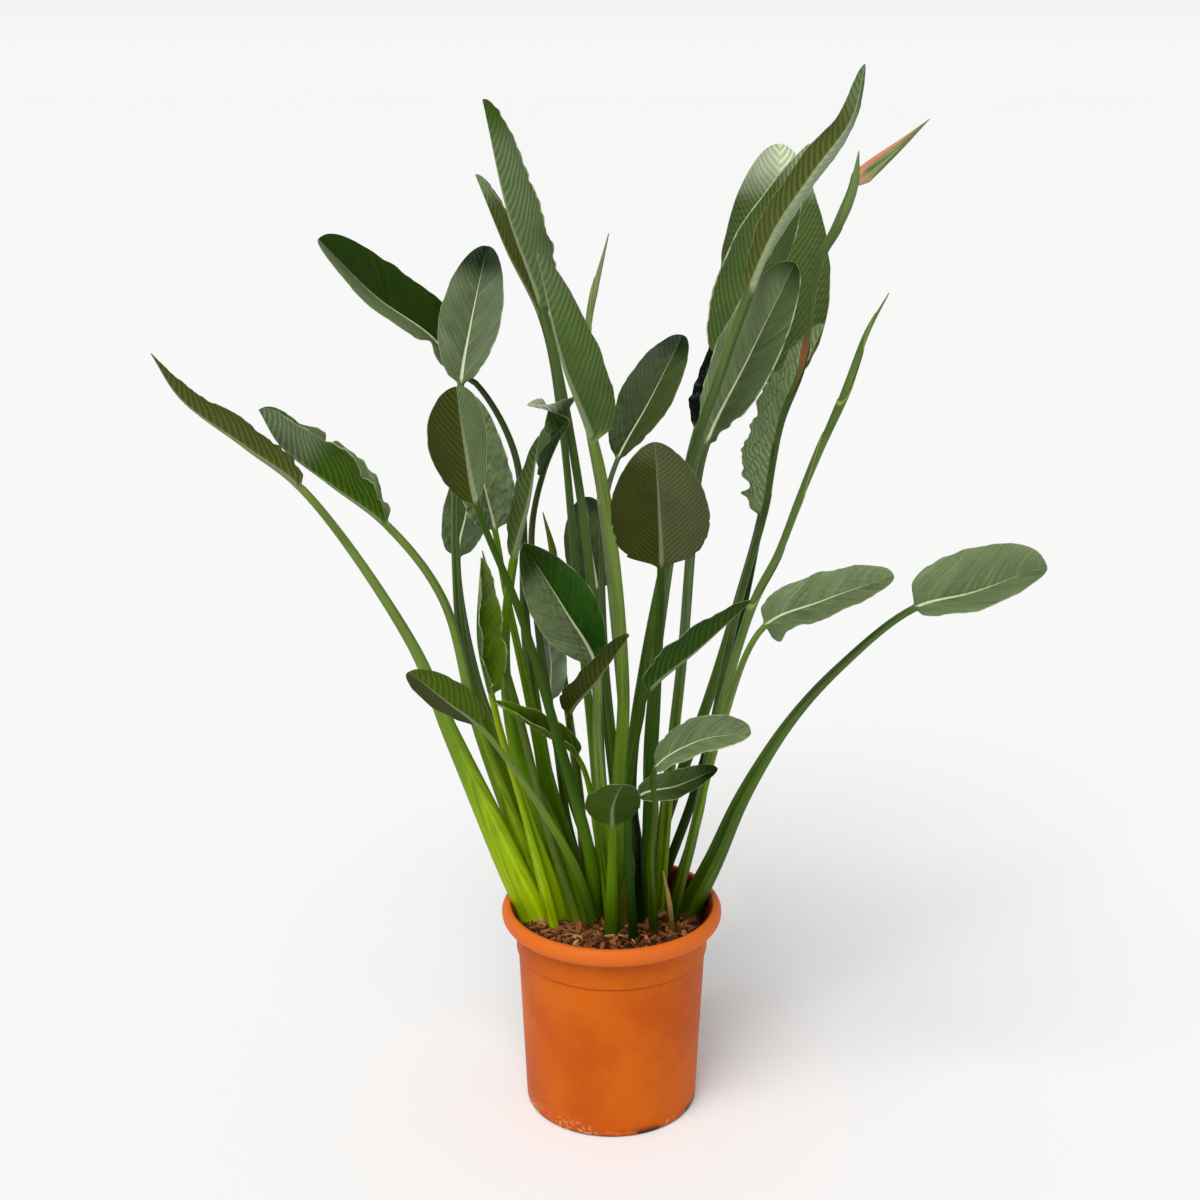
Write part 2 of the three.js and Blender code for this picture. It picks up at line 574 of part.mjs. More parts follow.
// Curve parameters at the given shares of the run between two parameters.
function atShares(curve, from, to, shares) {
  const lengths = [0];
  let before = curve.getPoint(from);
  for (let count = 1; count <= ARC_SAMPLES; count += 1) {
    const here = curve.getPoint(from + (to - from) * count / ARC_SAMPLES);
    lengths.push(lengths[count - 1] + here.distanceTo(before));
    before = here;
  }
  return shares.map((share) => {
    const wanted = share * lengths[ARC_SAMPLES];
    const count = Math.max(1, lengths.findIndex((length) => length >= wanted - TINY));
    const part = (wanted - lengths[count - 1]) / (lengths[count] - lengths[count - 1]);
    return from + (to - from) * (count - 1 + part) / ARC_SAMPLES;
  });
}

const evenShares = (steps) => Array.from({ length: steps + 1 }, (_, step) => step / steps);

// The size at a share of the length, straight between the pairs given.
function between(pairs, share) {
  const next = Math.max(1, pairs.findIndex(([at]) => at >= share - TINY));
  const [fromAt, fromSize] = pairs[next - 1];
  const [toAt, toSize] = pairs[next];
  return fromSize + (toSize - fromSize) * (share - fromAt) / (toAt - fromAt);
}

// The stalk below a blade: thickest at the soil, where it wraps its neighbours.
function leafStations(leaf) {
  const { curve, step } = plantedPath(leaf.root, [...leaf.stalk, ...leaf.blade]);
  const bladeStart = 1 - step * (leaf.blade.length - 1);
  const stations = atShares(curve, step, bladeStart, STALK_ROWS).map((at, row) => {
    const swell = (1 - STALK_ROWS[row]) ** RIB_TAPER;
    return {
      at,
      width: leaf.neck + (leaf.sheath[1] - leaf.neck) * swell,
      thickness: leaf.neck + (leaf.sheath[0] - leaf.neck) * swell,
    };
  });
  return { curve, bladeStart, stations: [{ ...stations[0], at: 0 }, ...stations] };
}

function stemStations(stem) {
  const { curve, step } = plantedPath(stem.root, stem.points);
  const steps = stem.points.length > SHORT_STEM_POINTS ? STEM_STEPS : SHORT_STEM_STEPS;
  const shares = evenShares(steps);
  const stations = atShares(curve, step, 1, shares).map((at, count) => {
    const thickness = between(stem.girth, shares[count]);
    return { at, width: thickness * stem.flat, thickness };
  });
  return { curve, stations: [{ ...stations[0], at: 0 }, ...stations] };
}

function stalkRings(curve, face, stations, grow = 0) {
  const toward = vector(face).normalize();
  return stations.map(({ at, width, thickness }) => (
    stalkRing(curve.getPoint(at), frameAt(curve.getTangent(at), toward), width + grow, thickness + grow)
  ));
}

function makeLeaf(leaf) {
  const { curve, bladeStart, stations } = leafStations(leaf);
  const rings = stalkRings(curve, leaf.face, stations);
  atShares(curve, bladeStart, 1, BLADE_ROWS).forEach((at, row) => {
    rings.push(bladeRing(leaf, curve.getPoint(at), curve.getTangent(at), BLADE_ROWS[row]));
  });
  return skin(rings);
}

function makeStem(stem) {
  const { curve, stations } = stemStations(stem);
  return skin(stalkRings(curve, stem.face, stations));
}

// The plain hole that a stalk stands in: its own foot, a little larger, up to clear of the soil.
function makeSocket(planted, face) {
  const { curve, stations } = planted;
  const rings = stalkRings(curve, face, stations.slice(0, SOCKET_STATIONS), 2 * SEAT_GAP);
  const down = curve.getTangent(0).multiplyScalar(-SEAT_GAP);
  rings[0].forEach((point) => point.add(down));
  return toSolid(skin(rings));
}

// The pointed green and orange bud that lies across the top of the first flower stalk.
function makeFlowerBeak() {
  const curve = new THREE.CatmullRomCurve3(FLOWER_BEAK.points.map(vector), false, 'centripetal');
  const shares = evenShares(BEAK_STEPS);
  const stations = atShares(curve, 0, 1, shares).map((at, count) => {
    const thickness = between(FLOWER_BEAK.height, shares[count]);
    return { at, width: thickness * FLOWER_BEAK.flat, thickness };
  });
  const beak = toSolid(skin(stalkRings(curve, FLOWER_BEAK.face, stations)));
  const holder = STEMS.flower_stalk_1;
  const stalk = stemStations(holder);
  const held = toSolid(skin(stalkRings(stalk.curve, holder.face, stalk.stations, 2 * SEAT_GAP)));
  return toGeometry(largest(beak.subtract(held)));
}

// ---------------------------------------------------------------- the object

const plant = new THREE.Group();

function addPiece(name, geometry, color, roughness) {
  geometry.computeVertexNormals();
  const material = new THREE.MeshStandardMaterial({ color, roughness, metalness: 0 });
  const mesh = new THREE.Mesh(geometry, material);
  mesh.name = name;
  plant.add(mesh);
}

const sockets = [];
const roots = [];

function plantSocket(planted, face, root) {
  sockets.push(makeSocket(planted, face));
  const { width, thickness } = planted.stations[0];
  roots.push({ x: root[0], y: root[1], reach: 0.5 * Math.max(width, thickness) });
}

for (const [name, leaf] of Object.entries(LEAVES)) {
  addPiece(name, makeLeaf(leaf), LEAF_GREEN, 0.45);
  plantSocket(leafStations(leaf), leaf.face, leaf.root);
}
for (const [name, stem] of Object.entries(STEMS)) {
  addPiece(name, makeStem(stem), stem.color ?? STALK_GREEN, 0.5);
  plantSocket(stemStations(stem), stem.face, stem.root);
}
addPiece('flower_beak', makeFlowerBeak(), BEAK_ORANGE, 0.5);
addPiece('soil', makeSoil(sockets, roots), SOIL_BROWN, 0.95);
addPiece('pot', makePot(), POT_ORANGE, 0.55);

export default plant;
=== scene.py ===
"""Potted bird of paradise: grown leaves, flower stalks, soil with bark chips and a round plastic pot.

Sizes are in millimetres where a name or a table holds them and become metres when a mesh is made.
+Z is up, -Y is the front, and the origin is the centre of the pot's underside.
"""
import logging
import math
from dataclasses import dataclass, field
from enum import Enum

import bmesh
import bpy
import numpy as np
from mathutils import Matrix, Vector


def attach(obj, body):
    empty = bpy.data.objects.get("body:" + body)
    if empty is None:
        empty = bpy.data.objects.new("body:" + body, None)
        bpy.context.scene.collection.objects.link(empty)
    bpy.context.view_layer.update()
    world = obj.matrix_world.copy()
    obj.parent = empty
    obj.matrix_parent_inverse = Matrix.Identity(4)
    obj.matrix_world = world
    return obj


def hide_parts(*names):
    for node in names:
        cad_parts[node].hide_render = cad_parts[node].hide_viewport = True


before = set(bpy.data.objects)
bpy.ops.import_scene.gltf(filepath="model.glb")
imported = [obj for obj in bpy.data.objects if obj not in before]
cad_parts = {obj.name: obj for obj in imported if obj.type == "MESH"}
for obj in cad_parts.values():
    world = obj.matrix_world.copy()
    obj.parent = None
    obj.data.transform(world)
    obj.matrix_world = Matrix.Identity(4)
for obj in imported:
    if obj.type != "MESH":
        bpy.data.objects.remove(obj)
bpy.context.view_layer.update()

MM = 0.001
STUDIO_GAIN = 1.1          # how much brighter the studio's light shows a surface than its own colour
STUDIO_SHEEN = 0.006       # what a waxy surface adds to it by its sheen
SHADE_SHARE = 0.2          # least share of a dark colour that is left when the sheen is taken off
ROOT_BODY = "root"

SOIL_LEVEL = 268.0
ROOT_DEPTH = 46.0
LEAF_STEP = 2.2            # distance between a blade's cross-sections
STALK_STEP = 11.0
HALF_COLUMNS = 20          # columns from the midrib to the edge of a blade
BLADE_HALF_THICKNESS = 0.42
DEFAULT_LOW = 0.75         # under 1, a blade is widest below its middle
TIP_STARTS = (0.35, 0.6)   # shares of a blade between which full gives way to blunt
TIP_SHARE = 0.9995
RIB_TAPER = 1.3
FOOT_SHARE = 0.52          # share of a stalk in which the foot's colour gives way to the stalk's
PURE_UP_TO = (0.4, 0.7)    # shares of a stalk between which its green stops being so pure
PURE_GREEN = (0.86, 1.02, 0.3)    # what the parts of its colour are multiplied by below that
DEFAULT_CURL = -12.0
BASE_BLEND = 0.055         # share of the blade in which the stalk opens out into it
VEIN_SPACING = 11.0        # between the strong side veins, along the midrib
NOTCH_COUNT = 26.0         # places along a blade where its edge may be torn
FRAYED = (0.08, 0.16)      # place and reach, as shares of the blade, of the most torn stretch of edge
CRINKLED = (0.12, 0.16)    # the same for the most crinkled stretch
EDGE_UNEVEN = 0.018        # how far the outline wanders, as a share of the half width
RIPPLE_PITCHES = (7.0, 8.0)    # distances between ripples of the left and of the right edge
VEIN_LEAN = (0.85, 0.65)   # how a side vein leans: along the blade at the midrib, and more toward the edge
WRINKLE_LENGTHS = (23.0, 15.0, 10.0, 7.0)

log = logging.getLogger("bird_of_paradise")

Point = tuple[float, float, float]
Pair = tuple[float, float]
Colour = tuple[float, float, float]
Array = np.ndarray
Socket = bpy.types.NodeSocket
Material = bpy.types.Material
Thing = bpy.types.Object


def display(red: float, green: float, blue: float) -> Colour:
    """Linear colour of a surface that is seen, in the studio's light, with the display values given.

    Args:
        red: Display value of red, from 0 to 255.
        green: Display value of green.
        blue: Display value of blue.

    Returns:
        The linear colour that a shader takes.
    """
    knee, slope, offset, power = 0.04045, 12.92, 0.055, 2.4
    shares = (value / 255.0 for value in (red, green, blue))
    linear = (s / slope if s <= knee else ((s + offset) / (1.0 + offset)) ** power for s in shares)
    return tuple(max(value - STUDIO_SHEEN, SHADE_SHARE * value) / STUDIO_GAIN for value in linear)


# ------------------------------------------------------------------ finishes


class Painter:
    """Builds one node-based finish step by step."""

    def __init__(self, name: str) -> None:
        """Starts a finish with a principled shader.

        Args:
            name: Name of the material.
        """
        self.material = bpy.data.materials.new(name)
        self.material.use_nodes = True
        self.tree = self.material.node_tree
        self.tree.nodes.clear()
        self.shader = self.tree.nodes.new("ShaderNodeBsdfPrincipled")
        output = self.tree.nodes.new("ShaderNodeOutputMaterial")
        self.tree.links.new(self.shader.outputs["BSDF"], output.inputs["Surface"])

    def put(self, socket: Socket, value: object) -> None:
        """Links a socket to another one, or sets its value.

        Args:
            socket: The input to feed.
            value: A socket, a number or a colour.
        """
        if isinstance(value, Socket):
            self.tree.links.new(value, socket)
        elif isinstance(value, tuple) and socket.type == "RGBA":
            socket.default_value = (*value, 1.0)
        else:
            socket.default_value = value

    def surface(self, **inputs: object) -> None:
        """Sets inputs of the shader, named with underscores for blanks.

        Args:
            **inputs: Values or sockets by the shader's input names in lower case.
        """
        names = {name.lower().replace(" ", "_"): name for name in self.shader.inputs.keys()}
        for key, value in inputs.items():
            self.put(self.shader.inputs[names[key]], value)

    def attribute(self, name: str) -> bpy.types.Node:
        """An attribute node for a value painted on the mesh.

        Args:
            name: Name of the mesh attribute.

        Returns:
            The node, with its Color, Vector, Fac and Alpha outputs.
        """
        node = self.tree.nodes.new("ShaderNodeAttribute")
        node.attribute_name = name
        return node

    def split(self, vector: Socket) -> tuple[Socket, ...]:
        """The three parts of a vector or colour.

        Args:
            vector: The socket to take apart.

        Returns:
            Sockets of its x, y and z.
        """
        node = self.tree.nodes.new("ShaderNodeSeparateXYZ")
        self.put(node.inputs[0], vector)
        return tuple(node.outputs)

    def join(self, *parts: object) -> Socket:
        """A vector of three values.

        Args:
            *parts: Its x, y and z.

        Returns:
            The vector's socket.
        """
        node = self.tree.nodes.new("ShaderNodeCombineXYZ")
        for socket, value in zip(node.inputs, parts):
            self.put(socket, value)
        return node.outputs[0]

    def place(self) -> Socket:
        """The point on the object, in metres."""
        return self.tree.nodes.new("ShaderNodeTexCoord").outputs["Object"]

    def math(self, operation: str, first: object, second: object = 0.0) -> Socket:
        """A calculation on one or two values.

        Args:
            operation: Name of the operation, such as MULTIPLY.
            first: First value.
            second: Second value, where the operation has one.

        Returns:
            The result's socket.
        """
        node = self.tree.nodes.new("ShaderNodeMath")
        node.operation = operation
        self.put(node.inputs[0], first)
        self.put(node.inputs[1], second)
        return node.outputs[0]

    def times(self, first: object, second: object) -> Socket:
        """The product of two values."""
        return self.math("MULTIPLY", first, second)

    def plus(self, first: object, second: object) -> Socket:
        """The sum of two values."""
        return self.math("ADD", first, second)

    def apart(self, first: object, second: object) -> Socket:
        """How far one value is from another."""
        return self.math("ABSOLUTE", self.math("SUBTRACT", first, second))

    def threads(self, around: object, along: object, count: float, blotches: float) -> Socket:
        """Soft random threads, count of them in a unit around, with some blotches in a metre along."""
        return self.noise(self.join(self.times(around, count), self.times(along, blotches), 0.0), 1.0, 3.0)

    def fade(self, value: object, low: float, high: float) -> Socket:
        """A smooth rise from 0 at low to 1 at high, or a fall where low is above high.

        Args:
            value: The value that is tested.
            low: Where the result is 0.
            high: Where the result is 1.

        Returns:
            The result's socket.
        """
        node = self.tree.nodes.new("ShaderNodeMapRange")
        node.interpolation_type = "SMOOTHSTEP"
        self.put(node.inputs["Value"], value)
        if low <= high:
            limits = (low, high, 0.0, 1.0)
        else:
            limits = (high, low, 1.0, 0.0)
        for name, limit in zip(("From Min", "From Max", "To Min", "To Max"), limits):
            node.inputs[name].default_value = limit
        return node.outputs["Result"]

    def noise(self, where: object, scale: float, detail: float = 3.0) -> Socket:
        """Soft random values from 0 to 1.

        Args:
            where: The vector that the noise runs over.
            scale: How many blotches fit in a unit.
            detail: How many finer layers there are.

        Returns:
            The value's socket.
        """
        node = self.tree.nodes.new("ShaderNodeTexNoise")
        self.put(node.inputs["Vector"], where)
        node.inputs["Scale"].default_value = scale
        node.inputs["Detail"].default_value = detail
        return node.outputs["Fac"]

    def mix(self, share: object, first: object, second: object) -> Socket:
        """A blend of two colours.

        Args:
            share: 0 for the first colour and 1 for the second.
            first: Colour or socket.
            second: Colour or socket.

        Returns:
            The blended colour's socket.
        """
        node = self.tree.nodes.new("ShaderNodeMix")
        node.data_type = "RGBA"
        self.put(node.inputs[0], share)
        self.put(node.inputs[6], first)
        self.put(node.inputs[7], second)
        return node.outputs[2]

    def coats(self, ground: object, *layers: tuple[object, object]) -> object:
        """Colours laid one over the other.

        Args:
            ground: Colour or socket at the bottom.
            *layers: Strength and colour of each coat, the lowest first.

        Returns:
            The colour that shows.
        """
        for share, colour in layers:
            ground = self.mix(share, ground, colour)
        return ground

    def brighten(self, colour: object, factor: float) -> Socket:
        """A lighter or darker kind of a colour.

        Args:
            colour: Socket of the colour.
            factor: What its parts are multiplied by.

        Returns:
            The new colour's socket.
        """
        node = self.tree.nodes.new("ShaderNodeVectorMath")
        node.operation = "SCALE"
        self.put(node.inputs[0], colour)
        node.inputs["Scale"].default_value = factor
        return node.outputs[0]

    def shade(self, share: object, first: float, second: float) -> Socket:
        """A blend of two numbers, at a share of 0 the first and at 1 the second."""
        return self.plus(first, self.times(share, second - first))

    def relief(self, height: object, distance: float, strength: float = 1.0) -> None:
        """Feeds the shader's normal from a height.

        Args:
            height: Height from 0 to 1.
            distance: What a height of 1 stands for, in metres.
            strength: Share of the effect.
        """
        node = self.tree.nodes.new("ShaderNodeBump")
        node.inputs["Strength"].default_value = strength
        node.inputs["Distance"].default_value = distance
        self.put(node.inputs["Height"], height)
        self.put(self.shader.inputs["Normal"], node.outputs["Normal"])


@dataclass(frozen=True)
class LeafFinish:
    """Leathery leaf: a glossy upper side and a matte underside, both with painted sheen and painted shade
    in streaks and along the side veins, and a waxy stalk.

    The colours of blade and stalk come from the mesh, in its tint layer.
    """

    name: str = "leaf_skin"
    rib: Colour = display(226, 232, 190)
    margin: Colour = display(206, 216, 170)
    shadow: float = 0.35       # brightness of the darker colour, as a share of the leaf's own colour: painted shade in the dark streaks and between the veins, and darker blotches and threads
    light: float = 1.7         # the same for the lighter colour: painted sheen in the light streaks, and lighter threads and seams on the stalk
    groove_shade: float = 0.3        # the same for the sunken veins of the upper side, darkened as painted shade in their grooves
    vein: float = 2.0          # the same for the raised veins of the underside, lightened as a painted highlight on their ridges
    vein_upper: float = 0.5    # strength of the veins on the upper side
    vein_under: float = 0.85
    trough_shade_upper: float = 0.25     # strength of the painted shade between the veins on the upper side
    # the same painted shade on the underside
    trough_shade_under: float = 0.55
    rib_under: float = 0.22    # strength of the midrib's colour on the underside
    upper_roughness: float = 0.34
    under_roughness: float = 0.55

    def build(self) -> Material:
        """Makes the material.

        Returns:
            The finished material.
        """
        p = Painter(self.name)
        form, tint, place = p.attribute("form"), p.attribute("tint"), p.place()
        side, out, rib = p.split(form.outputs["Color"])
        phase, lateral, along = p.split(p.attribute("run").outputs["Vector"])
        broad, wander, grain = p.noise(place, 12.0), p.noise(place, 42.0, 2.0), p.noise(place, 420.0, 2.0)
        threads = p.threads(lateral, along, 700.0, 9.0)
        sheen_and_shade_streak = p.noise(p.join(p.times(phase, 1.6), p.times(lateral, 24.0), broad), 1.0, 2.0)
        own, rimmed = tint.outputs["Color"], tint.outputs["Alpha"]
        dark, bright = p.brighten(own, self.shadow), p.brighten(own, self.light)

        line = p.plus(phase, p.times(wander, 0.5))
        veins = self._veins(p, line, broad, out)
        # Painted highlight on the raised veins of the underside, painted shade in the sunken veins of the
        # upper side
        vein_highlight_and_shade = p.mix(side, p.brighten(own, self.vein), p.brighten(own, self.groove_shade))
        # Painted shade in the troughs between the side veins
        vein_trough_shade = p.times(self._stripe(p, p.plus(line, 0.5), 1.0, 0.05, 0.42),
                         p.shade(side, self.trough_shade_under, self.trough_shade_upper))
        edge = p.times(p.fade(p.plus(out, p.times(rimmed, 0.03)), 0.985, 1.005),
                       p.shade(p.fade(wander, 0.36, 0.6), 0.15, 1.0))
        lamina = p.coats(
            own,
            (p.times(p.fade(broad, 0.5, 0.26), 0.5), dark),
            # Painted shade and painted sheen in streaks, stronger on the glossy upper side
            (p.times(p.fade(sheen_and_shade_streak, 0.46, 0.24), p.shade(side, 0.3, 0.55)), dark),
            (p.times(p.fade(sheen_and_shade_streak, 0.54, 0.76), p.shade(side, 0.25, 0.6)), bright),
            (p.times(vein_trough_shade, p.fade(rib, 0.7, 0.3)), dark),
            (p.times(veins, p.shade(side, self.vein_under, self.vein_upper)), vein_highlight_and_shade),
            (p.times(p.fade(rib, 0.6, 0.95), p.shade(side, self.rib_under, 1.0)), self.rib),
            (p.times(edge, rimmed), self.margin),
        )
        seam = p.times(p.fade(out, 0.9, 0.99), p.fade(along, 0.5, 0.15))
        stalk = p.coats(
            own,
            (p.times(p.fade(threads, 0.52, 0.3), 0.55), dark),
            (p.times(p.fade(threads, 0.5, 0.75), 0.4), bright),
            (p.times(seam, 0.5), bright),
        )
        blade = form.outputs["Alpha"]
        gloss = p.shade(side, self.under_roughness, self.upper_roughness)
        blotch = p.times(p.math("SUBTRACT", broad, 0.5), 0.22)
        p.surface(base_color=p.mix(blade, stalk, lamina), roughness=p.plus(gloss, blotch),
                  specular_ior_level=0.13)
        height = p.plus(p.times(veins, 0.8), p.times(grain, 0.16))
        p.relief(p.plus(p.times(height, blade), p.times(threads, 0.35)), 0.0005, 0.9)
        return p.material

    def _veins(self, p: Painter, line: object, broad: object, out: object) -> object:
        """Strength of the side veins: strong ones, middle ones between them and fine ones.

        Args:
            p: The painter at work.
            line: Running value that is whole on each strong vein.
            broad: Soft blotches in which the strong veins fade.
            out: 0 on the midrib and 1 on the edge.

        Returns:
            The strength's socket.
        """
        patchy = p.shade(p.fade(broad, 0.34, 0.6), 0.45, 1.0)
        strong = p.times(self._stripe(p, line, 1.0, 0.02, 0.26), patchy)
        middle = p.times(self._stripe(p, line, 3.0, 0.03, 0.34), 0.5)
        fine = p.times(self._stripe(p, line, 9.0, 0.1, 0.5), 0.2)
        veins = p.math("MAXIMUM", p.math("MAXIMUM", strong, middle), fine)
        return p.times(veins, p.shade(p.fade(out, 0.97, 0.5), 0.5, 1.0))

    @staticmethod
    def _stripe(p: Painter, phase: object, count: float, narrow: float, wide: float) -> object:
        """Thin lines, count in a unit of the phase, that fade out from a narrow to a wide half width."""
        middle = p.apart(p.math("FRACT", p.times(phase, count)), 0.5)
        return p.fade(p.math("SUBTRACT", 0.5, middle), wide, narrow * 0.3)


@dataclass(frozen=True)
class StemFinish:
    """Waxy stalk with fine lengthwise lines, and a coloured rim on each sheath.

    The colours are display values.
    """

    name: str
    body: Colour
    body_light: Colour
    dark: Colour
    rim: Colour
    foot: Colour
    top: Colour | None = None
    top_from: float = 1.12     # height in metres at which the stalk starts to turn to its top colour
    top_run: float = 0.14      # metres over which it does
    roughness: float = 0.42

    def build(self) -> Material:
        """Makes the material.

        Returns:
            The finished material.
        """
        p = Painter(self.name)
        shade, rim, foot = p.split(p.attribute("form").outputs["Color"])
        around, along, _ = p.split(p.attribute("run").outputs["Vector"])
        place = p.place()
        threads = p.threads(around, along, 14.0, 16.0)
        broad = p.noise(place, 24.0, 2.0)
        dark = display(*self.dark)
        colour = p.coats(
            display(*self.body),
            (p.fade(threads, 0.3, 0.72), display(*self.body_light)),
            (p.times(p.fade(broad, 0.4, 0.7), 0.35), dark),
        )
        if self.top:
            grown = p.fade(p.split(place)[2], self.top_from, self.top_from + self.top_run)
            colour = p.mix(grown, colour, display(*self.top))
        colour = p.coats(colour, (shade, dark), (foot, display(*self.foot)), (rim, display(*self.rim)))
        p.surface(base_color=colour, specular_ior_level=0.25,
                  roughness=p.shade(broad, self.roughness - 0.08, self.roughness + 0.1))
        p.relief(threads, 0.0004, 0.7)
        return p.material


@dataclass(frozen=True)
class BudFinish:
    """Bud of the flower: grey-green stripes below and salmon orange along the upper edge."""

    name: str = "flower_bud_skin"
    green: Colour = display(148, 158, 96)
    stripe: Colour = display(78, 102, 66)
    orange: Colour = display(200, 128, 90)
    blush: Colour = display(222, 160, 128)
    green_tip: float = 0.1     # metres from the base up to which the upper edge is orange

    def build(self) -> Material:
        """Makes the material.

        Returns:
            The finished material.
        """
        p = Painter(self.name)
        top, base, _ = p.split(p.attribute("form").outputs["Color"])
        around, along, _ = p.split(p.attribute("run").outputs["Vector"])
        threads = p.threads(around, along, 3.2, 14.0)
        uneven = p.plus(top, p.times(p.math("SUBTRACT", threads, 0.5), 0.35))
        flushed = p.times(p.fade(uneven, 0.6, 0.84), p.fade(along, self.green_tip + 0.012, self.green_tip))
        colour = p.coats(
            self.stripe,
            (p.fade(threads, 0.42, 0.58), self.green),
            (flushed, self.orange),
            (p.times(base, p.fade(threads, 0.1, 0.5)), self.blush),
        )
        p.surface(base_color=colour, roughness=0.42, specular_ior_level=0.25)
        p.relief(threads, 0.0004, 0.7)
        return p.material


@dataclass(frozen=True)
class PotFinish:
    """Moulded orange plastic: mottled body, paler rolled rim with a painted reflection of the sky on it,
    painted shade inside and in the corners, soiled and chalky foot.
    """

    name: str = "orange_pot_plastic"
    body: Colour = display(200, 88, 0)
    body_light: Colour = display(216, 104, 20)
    # Paler rim: partly its own colour, partly a painted reflection of the sky on the roll
    rim: Colour = display(228, 114, 44)
    # Darker orange: the grain's darker specks, and painted shade inside the pot and in the corner lines
    inside: Colour = display(120, 52, 20)
    dirt: Colour = display(44, 30, 16)
    chalk: Colour = display(238, 186, 150)
    rim_foot: float = 0.2716       # heights in metres
    step_height: float = 0.2292
    foot_height: float = 0.016
    line: float = 0.0015           # half width of the dark lines in the corners: painted shadow under the roll, where the parting line also runs, and painted shade under the step

    def build(self) -> Material:
        """Makes the material.

        Returns:
            The finished material.
        """
        p = Painter(self.name)
        place = p.place()
        x, y, z = p.split(place)
        slanted = p.noise(p.join(x, y, p.times(z, 0.45)), 26.0, 3.0)
        cloud, grain = p.noise(place, 9.0, 4.0), p.noise(place, 900.0, 2.0)
        crust, spots = p.noise(place, 24.0, 6.0), p.noise(place, 260.0, 2.0)
        roll = p.fade(z, self.rim_foot - 0.002, self.rim_foot + 0.004)
        # Painted shadow under the roll, with its parting line, and painted shade in the corner under the
        # step
        roll_shadow_line, step_shade_line = (p.fade(p.apart(z, height), self.line, 0.3 * self.line)
                                  for height in (self.rim_foot, self.step_height))
        worn = p.times(p.fade(crust, 0.5, 0.42), p.fade(spots, 0.52, 0.62))
        caked = p.times(p.fade(z, self.foot_height, 0.001), p.fade(crust, 0.5, 0.62))
        edge = p.fade(p.plus(z, p.times(spots, 0.006)), 0.0075, 0.004)
        colour = p.coats(
            self.body,
            (p.fade(cloud, 0.38, 0.66), self.body_light),
            (p.times(p.fade(slanted, 0.45, 0.75), 0.5), self.body_light),
            (p.times(p.fade(grain, 0.55, 0.7), 0.4), self.rim),
            (p.times(p.fade(grain, 0.45, 0.3), 0.3), self.inside),
            # The roll made paler: partly its own plastic, partly a painted reflection of the sky
            (p.times(roll, 0.85), self.rim),
            (p.times(roll_shadow_line, 0.45), self.inside),
            (p.times(step_shade_line, 0.6), self.inside),
            # Painted shade over the pot's inside
            (p.attribute("inside").outputs["Fac"], self.inside),
            (p.times(p.times(p.fade(z, 0.03, 0.004), worn), 0.8), self.chalk),
            (p.math("MAXIMUM", caked, p.times(edge, 0.7)), self.dirt),
        )
        p.surface(base_color=colour, roughness=p.shade(grain, 0.42, 0.6), specular_ior_level=0.12)
        p.relief(p.plus(p.times(grain, 0.4), p.times(cloud, 0.6)), 0.0005, 0.5)
        return p.material


@dataclass(frozen=True)
class SoilFinish:
    """Dark potting mix with bark chips from dark brown to tan."""

    name: str = "bark_mulch"
    mix_dark: Colour = display(38, 22, 14)
    mix_light: Colour = display(92, 52, 24)
    bark: Colour = display(152, 92, 48)
    bark_pale: Colour = display(208, 156, 106)

    def build(self) -> Material:
        """Makes the material.

        Returns:
            The finished material.
        """
        p = Painter(self.name)
        tone, chip, along = p.split(p.attribute("form").outputs["Color"])
        place = p.place()
        crumbs = p.noise(place, 240.0, 4.0)
        fibre = p.noise(p.join(p.times(along, 5.0), p.times(tone, 60.0), crumbs), 6.0, 3.0)
        ground = p.mix(p.fade(crumbs, 0.35, 0.7), self.mix_dark, self.mix_light)
        bark = p.coats(
            self.mix_light,
            (p.fade(tone, 0.15, 0.6), self.bark),
            (p.fade(tone, 0.6, 1.0), self.bark_pale),
            (p.times(p.fade(fibre, 0.45, 0.7), 0.45), self.mix_dark),
        )
        p.surface(base_color=p.mix(chip, ground, bark), roughness=0.86, specular_ior_level=0.25)
        p.relief(crumbs, 0.0016, 0.9)
        return p.material


# ------------------------------------------------------------------ curves and meshes


